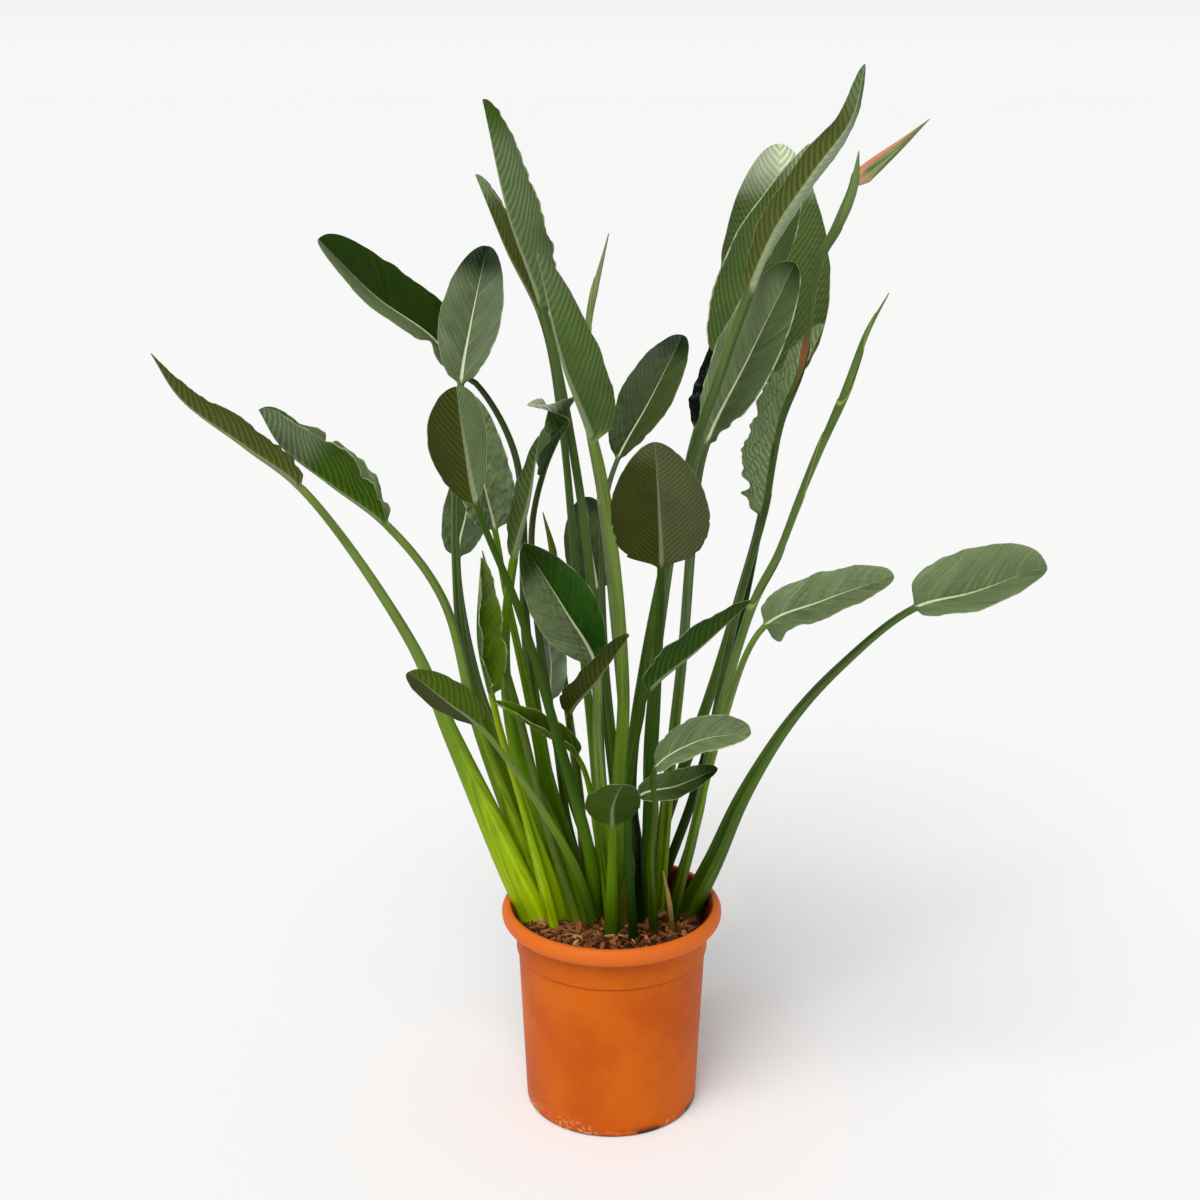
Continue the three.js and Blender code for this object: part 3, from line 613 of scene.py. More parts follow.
class StemPath:
    """Smooth curve through given points, the centre line of a stalk and of the blade above it."""

    def __init__(self, points: list[Point]) -> None:
        """Prepares the curve.

        Args:
            points: The points that it passes, in millimetres.
        """
        inner = np.array(points, dtype=float)
        before = 2.0 * inner[0] - inner[1]
        after = 2.0 * inner[-1] - inner[-2]
        self.knots = np.vstack([before, inner, after])
        self.spans = len(inner) - 1

    def at(self, shares: Array) -> Array:
        """Points of the curve.

        Args:
            shares: Curve parameters from 0 to 1.

        Returns:
            One row per parameter.
        """
        run = np.clip(shares, 0.0, 1.0) * self.spans
        index = np.minimum(run.astype(int), self.spans - 1)
        weight = (run - index)[:, None]
        a, b, c, d = (self.knots[index + step] for step in range(4))

        def gap(one: Array, other: Array) -> Array:
            """Root of the distance between knots, which spaces them evenly."""
            return np.sum((one - other) ** 2, axis=1)[:, None] ** 0.25

        first, second, third = gap(a, b), gap(b, c), gap(c, d)
        leave = ((b - a) / first - (c - a) / (first + second) + (c - b) / second) * second
        arrive = ((c - b) / second - (d - b) / (second + third) + (d - c) / third) * second
        cubic = 2.0 * b - 2.0 * c + leave + arrive
        square = -3.0 * b + 3.0 * c - 2.0 * leave - arrive
        return b + leave * weight + square * weight ** 2 + cubic * weight ** 3

    def tangents(self, shares: Array) -> Array:
        """Unit directions of the curve.

        Args:
            shares: Curve parameters from 0 to 1.

        Returns:
            One row per parameter.
        """
        small = 1e-4
        run = self.at(np.minimum(shares + small, 1.0)) - self.at(np.maximum(shares - small, 0.0))
        return run / np.linalg.norm(run, axis=1)[:, None]

    def spread(self, start: float, end: float, parts: Array) -> tuple[Array, float]:
        """Curve parameters at shares of the length between two parameters.

        Args:
            start: Parameter where the stretch starts.
            end: Parameter where it ends.
            parts: Shares of the stretch's length.

        Returns:
            The parameters, and the stretch's length in millimetres.
        """
        fine = np.linspace(start, end, 400)
        steps = np.linalg.norm(np.diff(self.at(fine), axis=0), axis=1)
        run = np.concatenate([[0.0], np.cumsum(steps)])
        return np.interp(parts * run[-1], run, fine), float(run[-1])


def planted(root: Pair, above: tuple[Point, ...]) -> StemPath:
    """Curve through a foot in the soil, the root at the surface and the points above it.

    Args:
        root: Where the stalk leaves the soil.
        above: The points above the soil.

    Returns:
        The curve.
    """
    surface = np.array([root[0], root[1], SOIL_LEVEL])
    run = np.array(above[0]) - surface
    slant = run / np.linalg.norm(run) + np.array([0.0, 0.0, 1.0])
    foot = surface - ROOT_DEPTH * slant / np.linalg.norm(slant)
    return StemPath([tuple(foot), tuple(surface), *above])


def frames(tangents: Array, face: Array) -> tuple[Array, Array]:
    """Upper side and right-hand side of a leaf at each cross-section.

    Args:
        tangents: Directions of the centre line.
        face: Where the upper side looks.

    Returns:
        Unit vectors up and right, one row per cross-section.
    """
    toward = face / np.linalg.norm(face)
    up = toward - tangents * (tangents @ toward)[:, None]
    up /= np.linalg.norm(up, axis=1)[:, None]
    return up, np.cross(tangents, up)


def smooth(value: Array, low: float, high: float) -> Array:
    """A smooth rise from 0 at low to 1 at high."""
    share = np.clip((value - low) / (high - low), 0.0, 1.0)
    return share * share * (3.0 - 2.0 * share)


def bump(value: Array, centre: float, reach: float) -> Array:
    """A soft bump that is 1 at its centre and has fallen to about a third at its reach."""
    return np.exp(-((value - centre) / reach) ** 2)


def ripple_noise(seed: int, run: Array, pitch: float) -> Array:
    """Smooth random values from -1 to 1 along a run.

    Args:
        seed: Seed of the draw.
        run: Where the values are wanted.
        pitch: Distance between the drawn values.

    Returns:
        One value for each place.
    """
    random = np.random.default_rng(seed)
    count = int(np.max(run) / pitch) + 4
    knots = random.uniform(-1.0, 1.0, count)
    place = np.maximum(run, 0.0) / pitch
    index = place.astype(int)
    share = smooth(place - index, 0.0, 1.0)
    return knots[index] * (1.0 - share) + knots[index + 1] * share


def placed(name: str, data: bpy.types.ID) -> Thing:
    """Puts a mesh, a lamp or a camera into the scene.

    Args:
        name: Name of the object.
        data: What it shows.

    Returns:
        The object.
    """
    thing = bpy.data.objects.new(name, data)
    bpy.context.scene.collection.objects.link(thing)
    return thing


def built(name: str, builder: bmesh.types.BMesh) -> Thing:
    """Puts what was built face by face into the scene.

    Args:
        name: Name of the mesh and of the object.
        builder: The faces; they are freed.

    Returns:
        The object.
    """
    mesh = bpy.data.meshes.new(name)
    builder.to_mesh(mesh)
    builder.free()
    return placed(name, mesh)


def dress(thing: Thing, finish: Material, nodes: tuple[str, ...], crease: float) -> Thing:
    """Gives a piece its finish, hides the parts that it stands for and lets it ride on the root body.

    Args:
        thing: The piece.
        finish: Its material.
        nodes: The nodes that it stands for.
        crease: Angle in degrees above which an edge stays sharp.

    Returns:
        The same piece.
    """
    thing.data.set_sharp_from_angle(angle=math.radians(crease))
    thing.data.materials.append(finish)
    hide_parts(*nodes)
    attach(thing, ROOT_BODY)
    log.info("%s: %d vertices", thing.name, len(thing.data.vertices))
    return thing


@dataclass
class Skin:
    """Vertices, faces and painted values of one piece, gathered from several stretches."""

    points: list[Array] = field(default_factory=list)
    faces: list[tuple[int, ...]] = field(default_factory=list)
    form: list[Array] = field(default_factory=list)
    run: list[Array] = field(default_factory=list)
    tint: list[Array] = field(default_factory=list)
    count: int = 0

    def add(self, points: Array, faces: list[tuple[int, ...]], form: Array, run: Array,
            tint: Array | None = None) -> None:
        """Adds one closed stretch.

        Args:
            points: Its vertices in millimetres.
            faces: Its faces, by its own vertex numbers.
            form: Four painted values per vertex.
            run: Three running values per vertex.
            tint: Four more painted values per vertex.
        """
        self.tint.append(np.zeros((len(points), 4)) if tint is None else tint)
        self.points.append(points)
        self.faces.extend(tuple(index + self.count for index in face) for face in faces)
        self.form.append(form)
        self.run.append(run)
        self.count += len(points)

    def add_rings(self, rings: Array, form: Array, run: Array,
                  tint: Array | None = None) -> None:
        """Adds a closed skin through rings of points.

        Args:
            rings: Rows of rings of points, each clockwise seen along the run.
            form: Four painted values for each ring point.
            run: Three running values for each ring point.
            tint: Four more painted values for each ring point.
        """
        rows, count, _ = rings.shape
        faces = []
        for row in range(rows - 1):
            near, far = row * count, (row + 1) * count
            for step in range(count):
                after = (step + 1) % count
                faces.append((near + step, near + after, far + after, far + step))
        faces.append(tuple(range(count - 1, -1, -1)))
        faces.append(tuple((rows - 1) * count + step for step in range(count)))
        more = None if tint is None else tint.reshape(-1, 4)
        self.add(rings.reshape(-1, 3), faces, form.reshape(-1, 4), run.reshape(-1, 3), more)

    def piece(self, name: str, finish: Material, nodes: tuple[str, ...],
              crease: float = 48.0) -> Thing:
        """Makes the object, dresses it and lets it ride.

        Args:
            name: Name of the piece.
            finish: Its material.
            nodes: The nodes that it stands for.
            crease: Angle in degrees above which an edge stays sharp.

        Returns:
            The finished object.
        """
        mesh = bpy.data.meshes.new(name)
        mesh.from_pydata((np.vstack(self.points) * MM).tolist(), [], self.faces)
        layers = (("form", "FLOAT_COLOR", self.form), ("tint", "FLOAT_COLOR", self.tint),
                  ("run", "FLOAT_VECTOR", self.run))
        for label, kind, values in layers:
            layer = mesh.attributes.new(label, kind, "POINT")
            key = "color" if kind == "FLOAT_COLOR" else "vector"
            layer.data.foreach_set(key, np.vstack(values).astype(np.float32).ravel())
        mesh.polygons.foreach_set("use_smooth", np.ones(len(mesh.polygons), dtype=bool))
        mesh.update()
        return dress(placed(name, mesh), finish, nodes, crease)


# ------------------------------------------------------------------ leaves


class Green(Enum):
    """The leaf greens, by plain names, as display values in soft daylight; the greys are the underside's
    waxy grey, and on the upper side painted sheen.
    """

    INK = (12, 26, 6)
    PINE = (28, 50, 10)
    HOLLY = (44, 68, 12)
    IVY = (58, 84, 14)
    OLIVE = (58, 66, 8)
    BRONZE = (74, 82, 36)
    STONE = (84, 90, 54)
    LEAF = (72, 94, 12)
    GRASS = (48, 94, 8)
    MOSS = (72, 88, 44)
    FERN = (84, 106, 54)
    SAGE = (90, 108, 68)
    # The grey greens below: painted sheen where they colour an upper side
    SHEEN_GREY = (106, 122, 86)
    MIST = (118, 136, 92)
    SILVER = (144, 160, 126)
    PALE = (184, 194, 160)
    PEA = (114, 138, 62)
    CELERY = (140, 166, 84)
    APPLE = (100, 132, 14)
    LIME = (134, 158, 16)
    BUTTER = (172, 186, 24)

    def paint(self) -> Array:
        """The linear colour for a mesh's tint layer."""
        return np.array(display(*self.value))


@dataclass(frozen=True)
class LeafShape:
    """Sizes of one leaf: stalk, midrib, blade and how the blade folds."""

    node: str
    root: Pair
    sheath: Pair
    neck: float
    stalk: tuple[Point, ...]
    blade: tuple[Point, ...]
    width: float
    face: Point
    fold: Pair
    wave: float
    full: float = 0.62
    blunt: float = 0.0         # 0 for the same as full
    low: float = DEFAULT_LOW
    curl: float = DEFAULT_CURL
    waves: float = 3.2


@dataclass(frozen=True)
class Wear:
    """How one leaf looks beyond its form."""

    upper: Green
    under: Green
    stalk: Green
    foot: Green
    tip: Green | None = None   # of both sides, with painted shade on dark tips and painted light on pale ones; None for no colour of its own
    tip_from: float = 0.75     # share of the blade where the tip's colour starts
    other: Green | None = None     # of the right half of both sides, where it differs from the left: the halves' painted sheen and painted shade differ
    sides: Pair = (1.0, 1.0)    # brightness of the left and of the right half, painted light and shade as the halves face the light differently
    edge: float = 0.25         # strength of the pale edge
    crinkle: float = 1.2       # height in millimetres of the edge's ripples near the blade's base
    crumple: float = 0.0       # height of the wrinkles all over the blade
    ragged: float = 0.05       # how torn the edge is near the blade's base
    pleat: float = 0.45        # height of the strong side veins
    dents: tuple[tuple[float, int, float, float], ...] = ()    # share, side, depth, half length
    spread: float = 1.0        # how much broader the sheath is at its foot


class Leaf:
    """One leaf as it grew: a channelled stalk that opens into a blade with a midrib and side veins."""

    def __init__(self, shape: LeafShape, wear: Wear, seed: int) -> None:
        """Keeps the sizes.

        Args:
            shape: Sizes of the leaf.
            wear: Its looks.
            seed: Seed of its small irregularities.
        """
        self.shape = shape
        self.wear = wear
        self.seed = seed
        self.path = planted(shape.root, (*shape.stalk, *shape.blade))
        self.soil_at = 1.0 / self.path.spans
        self.blade_at = 1.0 - (len(shape.blade) - 1) / self.path.spans
        steps = np.linspace(0.0, 1.0, HALF_COLUMNS + 1)
        half = steps * (0.25 + 0.75 * steps ** 1.2)
        self.columns = np.concatenate([-half[:0:-1], half])

    def half_width(self, share: Array, side: Array) -> Array:
        """Half width of the blade, with the dents of its edge.

        Args:
            share: Shares of the blade from base to tip, as a column.
            side: -1 or 1 for each column, 0 on the midrib.

        Returns:
            Half widths for each cross-section and column.
        """
        shape = self.shape
        waist = np.sin(np.pi * np.minimum(share, TIP_SHARE) ** shape.low)
        tip = shape.blunt or shape.full
        outline = waist ** (shape.full + (tip - shape.full) * smooth(share, *TIP_STARTS))
        half = 0.5 * shape.width * outline + 0.35
        uneven = EDGE_UNEVEN * ripple_noise(self.seed, share[:, 0] * 10.0, 0.7)[:, None] * side
        torn = bump(share, *FRAYED) + 0.12
        for which in (-1, 1):
            notches = ripple_noise(self.seed + 5 + which, share[:, 0] * NOTCH_COUNT, 1.0)
            notches = np.maximum(notches, 0.0)[:, None]
            uneven = uneven - self.wear.ragged * torn * notches * (side == which)
        for at, which, depth, reach in self.wear.dents:
            uneven = uneven - depth * bump(share, at, reach) * (side == which)
        return half * (1.0 + uneven)

    def blade_section(self, share: Array, along: Array) -> dict[str, Array]:
        """Upper and lower line of each cross-section of the blade.

        Args:
            share: Shares of the blade from base to tip.
            along: Distances from the blade's base.

        Returns:
            Arrays named top_x, top_y, low_x, low_y, lateral, rib and phase.
        """
        shape, t, s = self.shape, share[:, None], along[:, None]
        side, out = np.sign(self.columns)[None, :], np.abs(self.columns)[None, :]
        half = self.half_width(t, side)
        fold = np.where(side < 0, shape.fold[0], shape.fold[1])
        angle = np.radians(fold + 0.5 * shape.curl * out)
        wave = shape.wave * out ** 2 * np.sin(np.pi * t) * np.sin(2 * np.pi * shape.waves * t + 2 * side)
        left, right = (ripple_noise(self.seed + number, along, pitch)[:, None]
                       for number, pitch in enumerate(RIPPLE_PITCHES, start=1))
        ripple = np.where(side < 0, left, right) * np.sin(np.pi * t) ** 0.3
        crinkle = self.wear.crinkle * out ** 5 * (0.25 + bump(t, *CRINKLED)) * ripple
        lateral = out * half
        phase = (s - VEIN_LEAN[0] * lateral - VEIN_LEAN[1] * lateral ** 2 / half) / VEIN_SPACING
        grown = smooth(t, 0.02, 0.12) * smooth(1.0 - t, 0.0, 0.12)
        grown = grown * smooth(out, 0.04, 0.2) * (1.0 - smooth(out, 0.86, 1.0))
        pleat = self.wear.pleat * grown * np.cos(2 * np.pi * phase)
        inner = smooth(t, 0.0, 0.1) * smooth(1.0 - t, 0.0, 0.1)
        lift = wave + crinkle + self.wrinkles(s, side * lateral) * inner
        x = side * lateral * np.cos(angle)
        y = lateral * np.sin(angle) + lift
        across, over = -side * np.sin(angle), np.cos(angle)
        over = np.where(side == 0, 1.0, over)
        rib = 0.5 * shape.neck * (1.0 - t) ** RIB_TAPER
        ridge = np.exp(-(lateral / (0.85 * rib + 0.3)) ** 2)
        above = BLADE_HALF_THICKNESS - 0.3 * rib * ridge + pleat
        below = BLADE_HALF_THICKNESS + rib * ridge - pleat
        return {
            "top_x": x + across * above, "top_y": y + over * above,
            "low_x": x - across * below, "low_y": y - over * below,
            "lateral": side * lateral, "rib": ridge, "phase": phase + 0.37 * side,
        }

    def wrinkles(self, along: Array, lateral: Array) -> Array:
        """Wrinkles all over a crumpled blade.

        Args:
            along: Distances from the blade's base, as a column.
            lateral: Distances from the midrib, for each cross-section and column.

        Returns:
            Heights of the wrinkles.
        """
        random = np.random.default_rng(self.seed + 9)
        height = np.zeros_like(lateral)
        for length in WRINKLE_LENGTHS:
            turn, start = random.uniform(0.2, 1.2) * random.choice((-1.0, 1.0)), random.uniform(0.0, 6.0)
            way = (along * math.cos(turn) + np.abs(lateral) * math.sin(turn)) / length
            bent = way + 0.35 * np.sin(1.7 * np.pi * lateral / length + start)
            height = height + np.sin(2.0 * np.pi * bent + start) * length / WRINKLE_LENGTHS[0]
        return self.wear.crumple * height * smooth(np.abs(lateral), 1.0, 9.0)

    def stalk_section(self, width: Array, thickness: Array,
                      swell: Array) -> dict[str, Array]:
        """Upper and lower line of each cross-section of the stalk, with its channel on the upper side.

        Args:
            width: Widths of the sections.
            thickness: Thicknesses of the sections.
            swell: 1 at the soil, where the stalk is a sheath, to 0 at the blade.

        Returns:
            Arrays named top_x, top_y, low_x, low_y, lateral.
        """
        spot = np.sin(0.5 * np.pi * self.columns)[None, :]
        arch = np.sqrt(np.clip(1.0 - spot ** 2, 0.0, 1.0))
        w, h, s = width[:, None], thickness[:, None], swell[:, None]
        channel = (0.14 + 0.3 * s) * h * np.exp(-(spot / (0.26 + 0.4 * s)) ** 2)
        x = 0.5 * w * spot + np.zeros_like(h)
        return {
            "top_x": x, "top_y": (0.42 * h - channel) * arch + 0.15,
            "low_x": x, "low_y": -0.5 * h * arch - 0.15, "lateral": x,
        }

    def build(self, finish: Material) -> Thing:
        """Makes the leaf's mesh and dresses it.

        Args:
            finish: Material of the leaf.

        Returns:
            The finished object.
        """
        shape = self.shape
        _, stalk_length = self.path.spread(self.soil_at, self.blade_at, np.array([1.0]))
        stalk_parts = np.linspace(0.0, 1.0, max(8, int(stalk_length / STALK_STEP)))
        stalk_t, _ = self.path.spread(self.soil_at, self.blade_at, stalk_parts)
        _, blade_length = self.path.spread(self.blade_at, 1.0, np.array([1.0]))
        even = np.linspace(0.0, 1.0, max(24, int(blade_length / LEAF_STEP)))
        blade_parts = (0.7 * even + 0.3 * (0.5 - 0.5 * np.cos(np.pi * even)))[1:]
        blade_t, _ = self.path.spread(self.blade_at, 1.0, blade_parts)

        swell = np.concatenate([[1.0], (1.0 - stalk_parts) ** RIB_TAPER])
        more = 1.0 + (self.wear.spread - 1.0) * np.concatenate([[1.0], smooth(1.0 - stalk_parts, 0.3, 1.0)])
        width = (shape.neck + (shape.sheath[1] - shape.neck) * swell) * more
        thickness = (shape.neck + (shape.sheath[0] - shape.neck) * swell) * more
        stalk = self.stalk_section(width, thickness, swell)
        count = len(blade_parts)
        neck = self.stalk_section(np.full(count, shape.neck), np.full(count, shape.neck), np.zeros(count))
        blade = self.blade_section(blade_parts, blade_parts * blade_length)
        opened = smooth(blade_parts, 0.0, BASE_BLEND)[:, None]

        params = np.concatenate([[0.0], stalk_t, blade_t])
        centre, tangent = self.path.at(params), self.path.tangents(params)
        up, right = frames(tangent, np.array(shape.face, dtype=float))

        def line(prefix: str) -> Array:
            """Points of one line of every cross-section.

            Args:
                prefix: top for the upper line, low for the lower one.

            Returns:
                The points, by cross-section and column.
            """
            parts = []
            for axis in ("x", "y"):
                key = f"{prefix}_{axis}"
                grown = neck[key] * (1.0 - opened) + blade[key] * opened
                parts.append(np.vstack([stalk[key], grown]))
            flat = parts[0][:, :, None] * right[:, None, :] + parts[1][:, :, None] * up[:, None, :]
            return centre[:, None, :] + flat

        rings = np.concatenate([line("top"), line("low")[:, ::-1]], axis=1)

        rows, columns = len(params), len(self.columns)
        out = np.tile(np.abs(self.columns), (rows, 1))
        rib = np.zeros((rows, columns))
        rib[-count:] = blade["rib"]
        phase = np.zeros((rows, columns))
        phase[-count:] = blade["phase"]
        across = neck["lateral"] * (1.0 - opened) + blade["lateral"] * opened
        lateral = np.vstack([stalk["lateral"], across])
        grown = np.concatenate([np.zeros(rows - count), opened[:, 0]])[:, None] * np.ones((1, columns))
        blade_run = stalk_length + blade_parts * blade_length
        above = np.concatenate([[-ROOT_DEPTH], stalk_parts * stalk_length, blade_run])
        along = above[:, None] * np.ones((1, columns))

        def ring_values(*layers: tuple[Array, Array]) -> Array:
            """Painted values round every ring, from pairs for the upper and the lower line."""
            rings = (np.concatenate([one, other[:, ::-1]], axis=1) for one, other in layers)
            return np.stack(tuple(rings), axis=-1)

        ones, zeros = np.ones((rows, columns)), np.zeros((rows, columns))
        form = ring_values((ones, zeros), (out, out), (rib, rib), (grown, grown))
        run = ring_values((phase, phase), (lateral * MM, lateral * MM), (along * MM, along * MM))
        skin = Skin()
        skin.add_rings(rings, form, run, self.tints(grown, stalk_parts, blade_parts))
        return skin.piece(f"{shape.node}_grown", finish, (shape.node,))

    def tints(self, grown: Array, stalk_parts: Array, blade_parts: Array) -> Array:
        """Colours of every ring point.

        Args:
            grown: 0 on the stalk and 1 on the blade, by row and column.
            stalk_parts: Shares of the stalk at its rows.
            blade_parts: Shares of the blade at its rows.

        Returns:
            Red, green, blue and the strength of the pale edge, for each ring point.
        """
        wear = self.wear
        foot, stalk = wear.foot.paint(), wear.stalk.paint()
        rise = smooth(np.concatenate([[0.0], stalk_parts]), 0.0, FOOT_SHARE)[:, None]
        below = foot + (stalk - foot) * rise
        pure = 1.0 - smooth(np.concatenate([[0.0], stalk_parts]), *PURE_UP_TO)[:, None]
        below = below * (1.0 + (np.array(PURE_GREEN) - 1.0) * pure)
        toward_tip = smooth(blade_parts, wear.tip_from - 0.1, wear.tip_from + 0.1)[:, None]
        # Painted light and shade: each half of the blade made brighter or darker as it faces the light
        half_light_and_shade = np.where(self.columns < 0.0, wear.sides[0], wear.sides[1])
        half_light_and_shade = np.where(self.columns == 0.0, 0.5 * sum(wear.sides), half_light_and_shade)[None, :, None]
        layers = []
        for green in (wear.upper, wear.under):
            base = green.paint()[None, None, :]
            right = smooth(self.columns, -0.06, 0.06)[None, :, None]
            # The right half takes its own colour, with its painted sheen and painted shade
            above = base + ((wear.other or green).paint() - base) * right
            # The tip's colour, with painted shade on dark tips and painted light on pale ones
            if wear.tip:
                above = above + (wear.tip.paint() - above) * toward_tip[:, None, :]
            lower = np.tile(below[:, None, :], (1, len(self.columns), 1))
            whole = np.concatenate([lower, np.broadcast_to(above, (len(blade_parts), *lower.shape[1:]))])
            share = grown[:, :, None]
            colour = below[-1] * (1.0 - share) + whole * share
            colour[:len(below)] = below[:, None, :]
            layers.append(colour * (1.0 + (half_light_and_shade - 1.0) * share))
        painted = np.concatenate([layers[0], layers[1][:, ::-1]], axis=1)
        return np.concatenate([painted, np.full((*painted.shape[:2], 1), wear.edge)], axis=2)


# ------------------------------------------------------------------ stems, sheaths and the flower bud


@dataclass(frozen=True)
class Bract:
    """A sheath that wraps a stalk and ends in a point."""

    start: float               # share of the stalk's length above the soil
    length: float              # millimetres up to its tip
    turn: float                # where its tip stands round the stalk, in degrees
    stand: float = 1.3         # how far its mouth stands off the stalk
    rim: float = 1.0           # strength of the rim's colour


@dataclass(frozen=True)
class StemShape:
    """Sizes of a flower stalk, a rolled leaf or a short sheath."""

    node: str
    root: Pair
    flat: float
    points: tuple[Point, ...]
    girth: tuple[Pair, ...]
    face: Point = (0, -1, 0)
    bracts: tuple[Bract, ...] = ()
    blushes: tuple[tuple[float, float, float], ...] = ()   # share, half length, strength of rim colour
    roll: float = 0.0          # depth of the spiral seam of a rolled leaf, as a share of its radius
    slot: str = "stalk"


class Stem:
    """A round stalk with fine rings, its sheaths and, on a rolled leaf, the seam of the roll."""

    CORNERS = 28
    STEP = 5.0                 # between the rings
    BRACT_ROWS = 14
    BRACT_SKIN = 0.55          # its thickness at the base
    BRACT_SHADE = 0.12         # how dark it is

    def __init__(self, shape: StemShape) -> None:
        """Keeps the sizes.

        Args:
            shape: Sizes of the stem.
        """
        self.shape = shape
        self.path = planted(shape.root, shape.points)
        self.soil_at = 1.0 / self.path.spans
        _, self.length = self.path.spread(self.soil_at, 1.0, np.array([1.0]))

    def girth(self, parts: Array) -> Array:
        """Thickness at shares of the length above the soil."""
        places, sizes = zip(*self.shape.girth)
        return np.interp(parts, places, sizes)

    def rings(self, parts: Array, grow: Array) -> Array:
        """Rings round the stalk.

        Args:
            parts: Shares of the length above the soil, for each row or each row and corner.
            grow: How much larger the radius is than the stalk's, in the same shape.

        Returns:
            Points by row and corner.
        """
        rows = parts.shape[0]
        turns = -2.0 * np.pi * np.arange(self.CORNERS) / self.CORNERS
        wide = np.broadcast_to(parts.reshape(rows, -1), (rows, self.CORNERS))
        more = np.broadcast_to(grow.reshape(rows, -1), (rows, self.CORNERS))
        params, _ = self.path.spread(self.soil_at, 1.0, wide.ravel())
        centre, tangent = self.path.at(params), self.path.tangents(params)
        up, right = frames(tangent, np.array(self.shape.face, dtype=float))
        radius = 0.5 * self.girth(wide.ravel()) + more.ravel()
        seam = self.shape.roll * np.exp(-((np.angle(np.exp(1j * (turns - 0.6))) / 0.22) ** 2))
        angle = np.tile(turns, rows)
        radius = radius * (1.0 - np.tile(seam, rows) * smooth(wide.ravel(), 0.35, 0.6))
        x = (radius * self.shape.flat * np.cos(angle))[:, None] * right
        y = (radius * np.sin(angle))[:, None] * up
        return (centre + x + y).reshape(rows, self.CORNERS, 3)

    def add_stalk(self, skin: Skin) -> None:
        """Adds the stalk itself.

        Args:
            skin: The piece that it becomes part of.
        """
        parts = np.linspace(0.0, 1.0, max(12, int(self.length / self.STEP)))
        rings = self.rings(parts, np.zeros_like(parts))
        foot = self.path.at(np.array([0.0]))[0] - rings[0].mean(axis=0)
        rings = np.concatenate([(rings[0] + foot)[None], rings])
        share = np.concatenate([[0.0], parts])
        rim = np.zeros_like(share)
        for at, reach, strength in self.shape.blushes:
            rim = np.maximum(rim, strength * bump(share, at, reach))
        shade = 0.25 * (1.0 - smooth(share, 0.0, 0.3))
        low = 1.0 - smooth(share * self.length, 5.0, 60.0)
        self._add(skin, rings, share, shade, rim, 0.7 * low)

    def add_bract(self, skin: Skin, bract: Bract) -> None:
        """Adds one sheath round the stalk.

        Args:
            skin: The piece that it becomes part of.
            bract: Sizes of the sheath.
        """
        turns = -2.0 * np.pi * np.arange(self.CORNERS) / self.CORNERS
        toward = 0.5 + 0.5 * np.cos(turns + math.radians(bract.turn))
        reach = bract.length * (0.42 + 0.58 * toward ** 3)
        steps = np.linspace(0.0, 1.0, self.BRACT_ROWS)[:, None]
        parts = bract.start + steps * reach[None, :] / self.length
        outer = 0.1 + bract.stand * smooth(steps, 0.0, 1.0) * (0.6 + 0.4 * toward[None, :])
        inner = outer - self.BRACT_SKIN * (1.0 - 0.5 * steps)
        rows = np.concatenate([parts, parts[::-1]])
        grow = np.concatenate([outer, inner[::-1]])
        points = self.rings(rows, grow)
        count = self.CORNERS
        total = len(points)
        faces = []
        for row in range(total):
            near, far = row * count, ((row + 1) % total) * count
            for step in range(count):
                after = (step + 1) % count
                faces.append((near + step, near + after, far + after, far + step))
        edge = smooth(np.concatenate([steps, steps[::-1]]), 0.84, 0.97)
        rim = bract.rim * edge * np.ones((1, count))
        none = np.zeros_like(rim)
        run = np.stack([np.tile(turns, (total, 1)), rows * self.length * MM, none], axis=-1)
        form = np.stack([none + self.BRACT_SHADE, rim, none, none + 1.0], axis=-1)
        skin.add(points.reshape(-1, 3), faces, form.reshape(-1, 4), run.reshape(-1, 3))

    def _add(self, skin: Skin, rings: Array, share: Array, shade: Array, rim: Array,
             low: Array) -> None:
        """Adds rings with values that are the same all round.

        Args:
            skin: The piece that they become part of.
            rings: Points by row and corner.
            share: Share of the length at each row.
            shade: How dark each row is.
            rim: Strength of the rim's colour at each row.
            low: Strength of the foot's colour at each row.
        """
        count = rings.shape[1]
        turns = np.tile(2.0 * np.pi * np.arange(count) / count, (len(share), 1))

        def wide(values: Array) -> Array:
            """Values of the rows, repeated round every ring."""
            return np.tile(values[:, None], (1, count))

        form = np.stack([wide(shade), wide(rim), wide(low), np.ones_like(turns)], axis=-1)
        run = np.stack([turns, wide(share * self.length * MM), np.zeros_like(turns)], axis=-1)
        skin.add_rings(rings, form, run)

    def build(self, finish: Material) -> Thing:
        """Makes the stem's mesh and dresses it.

        Args:
            finish: Material of the stem.

        Returns:
            The finished object.
        """
        skin = Skin()
        self.add_stalk(skin)
        for bract in self.shape.bracts:
            self.add_bract(skin, bract)
        return skin.piece(f"{self.shape.node}_grown", finish, (self.shape.node,))


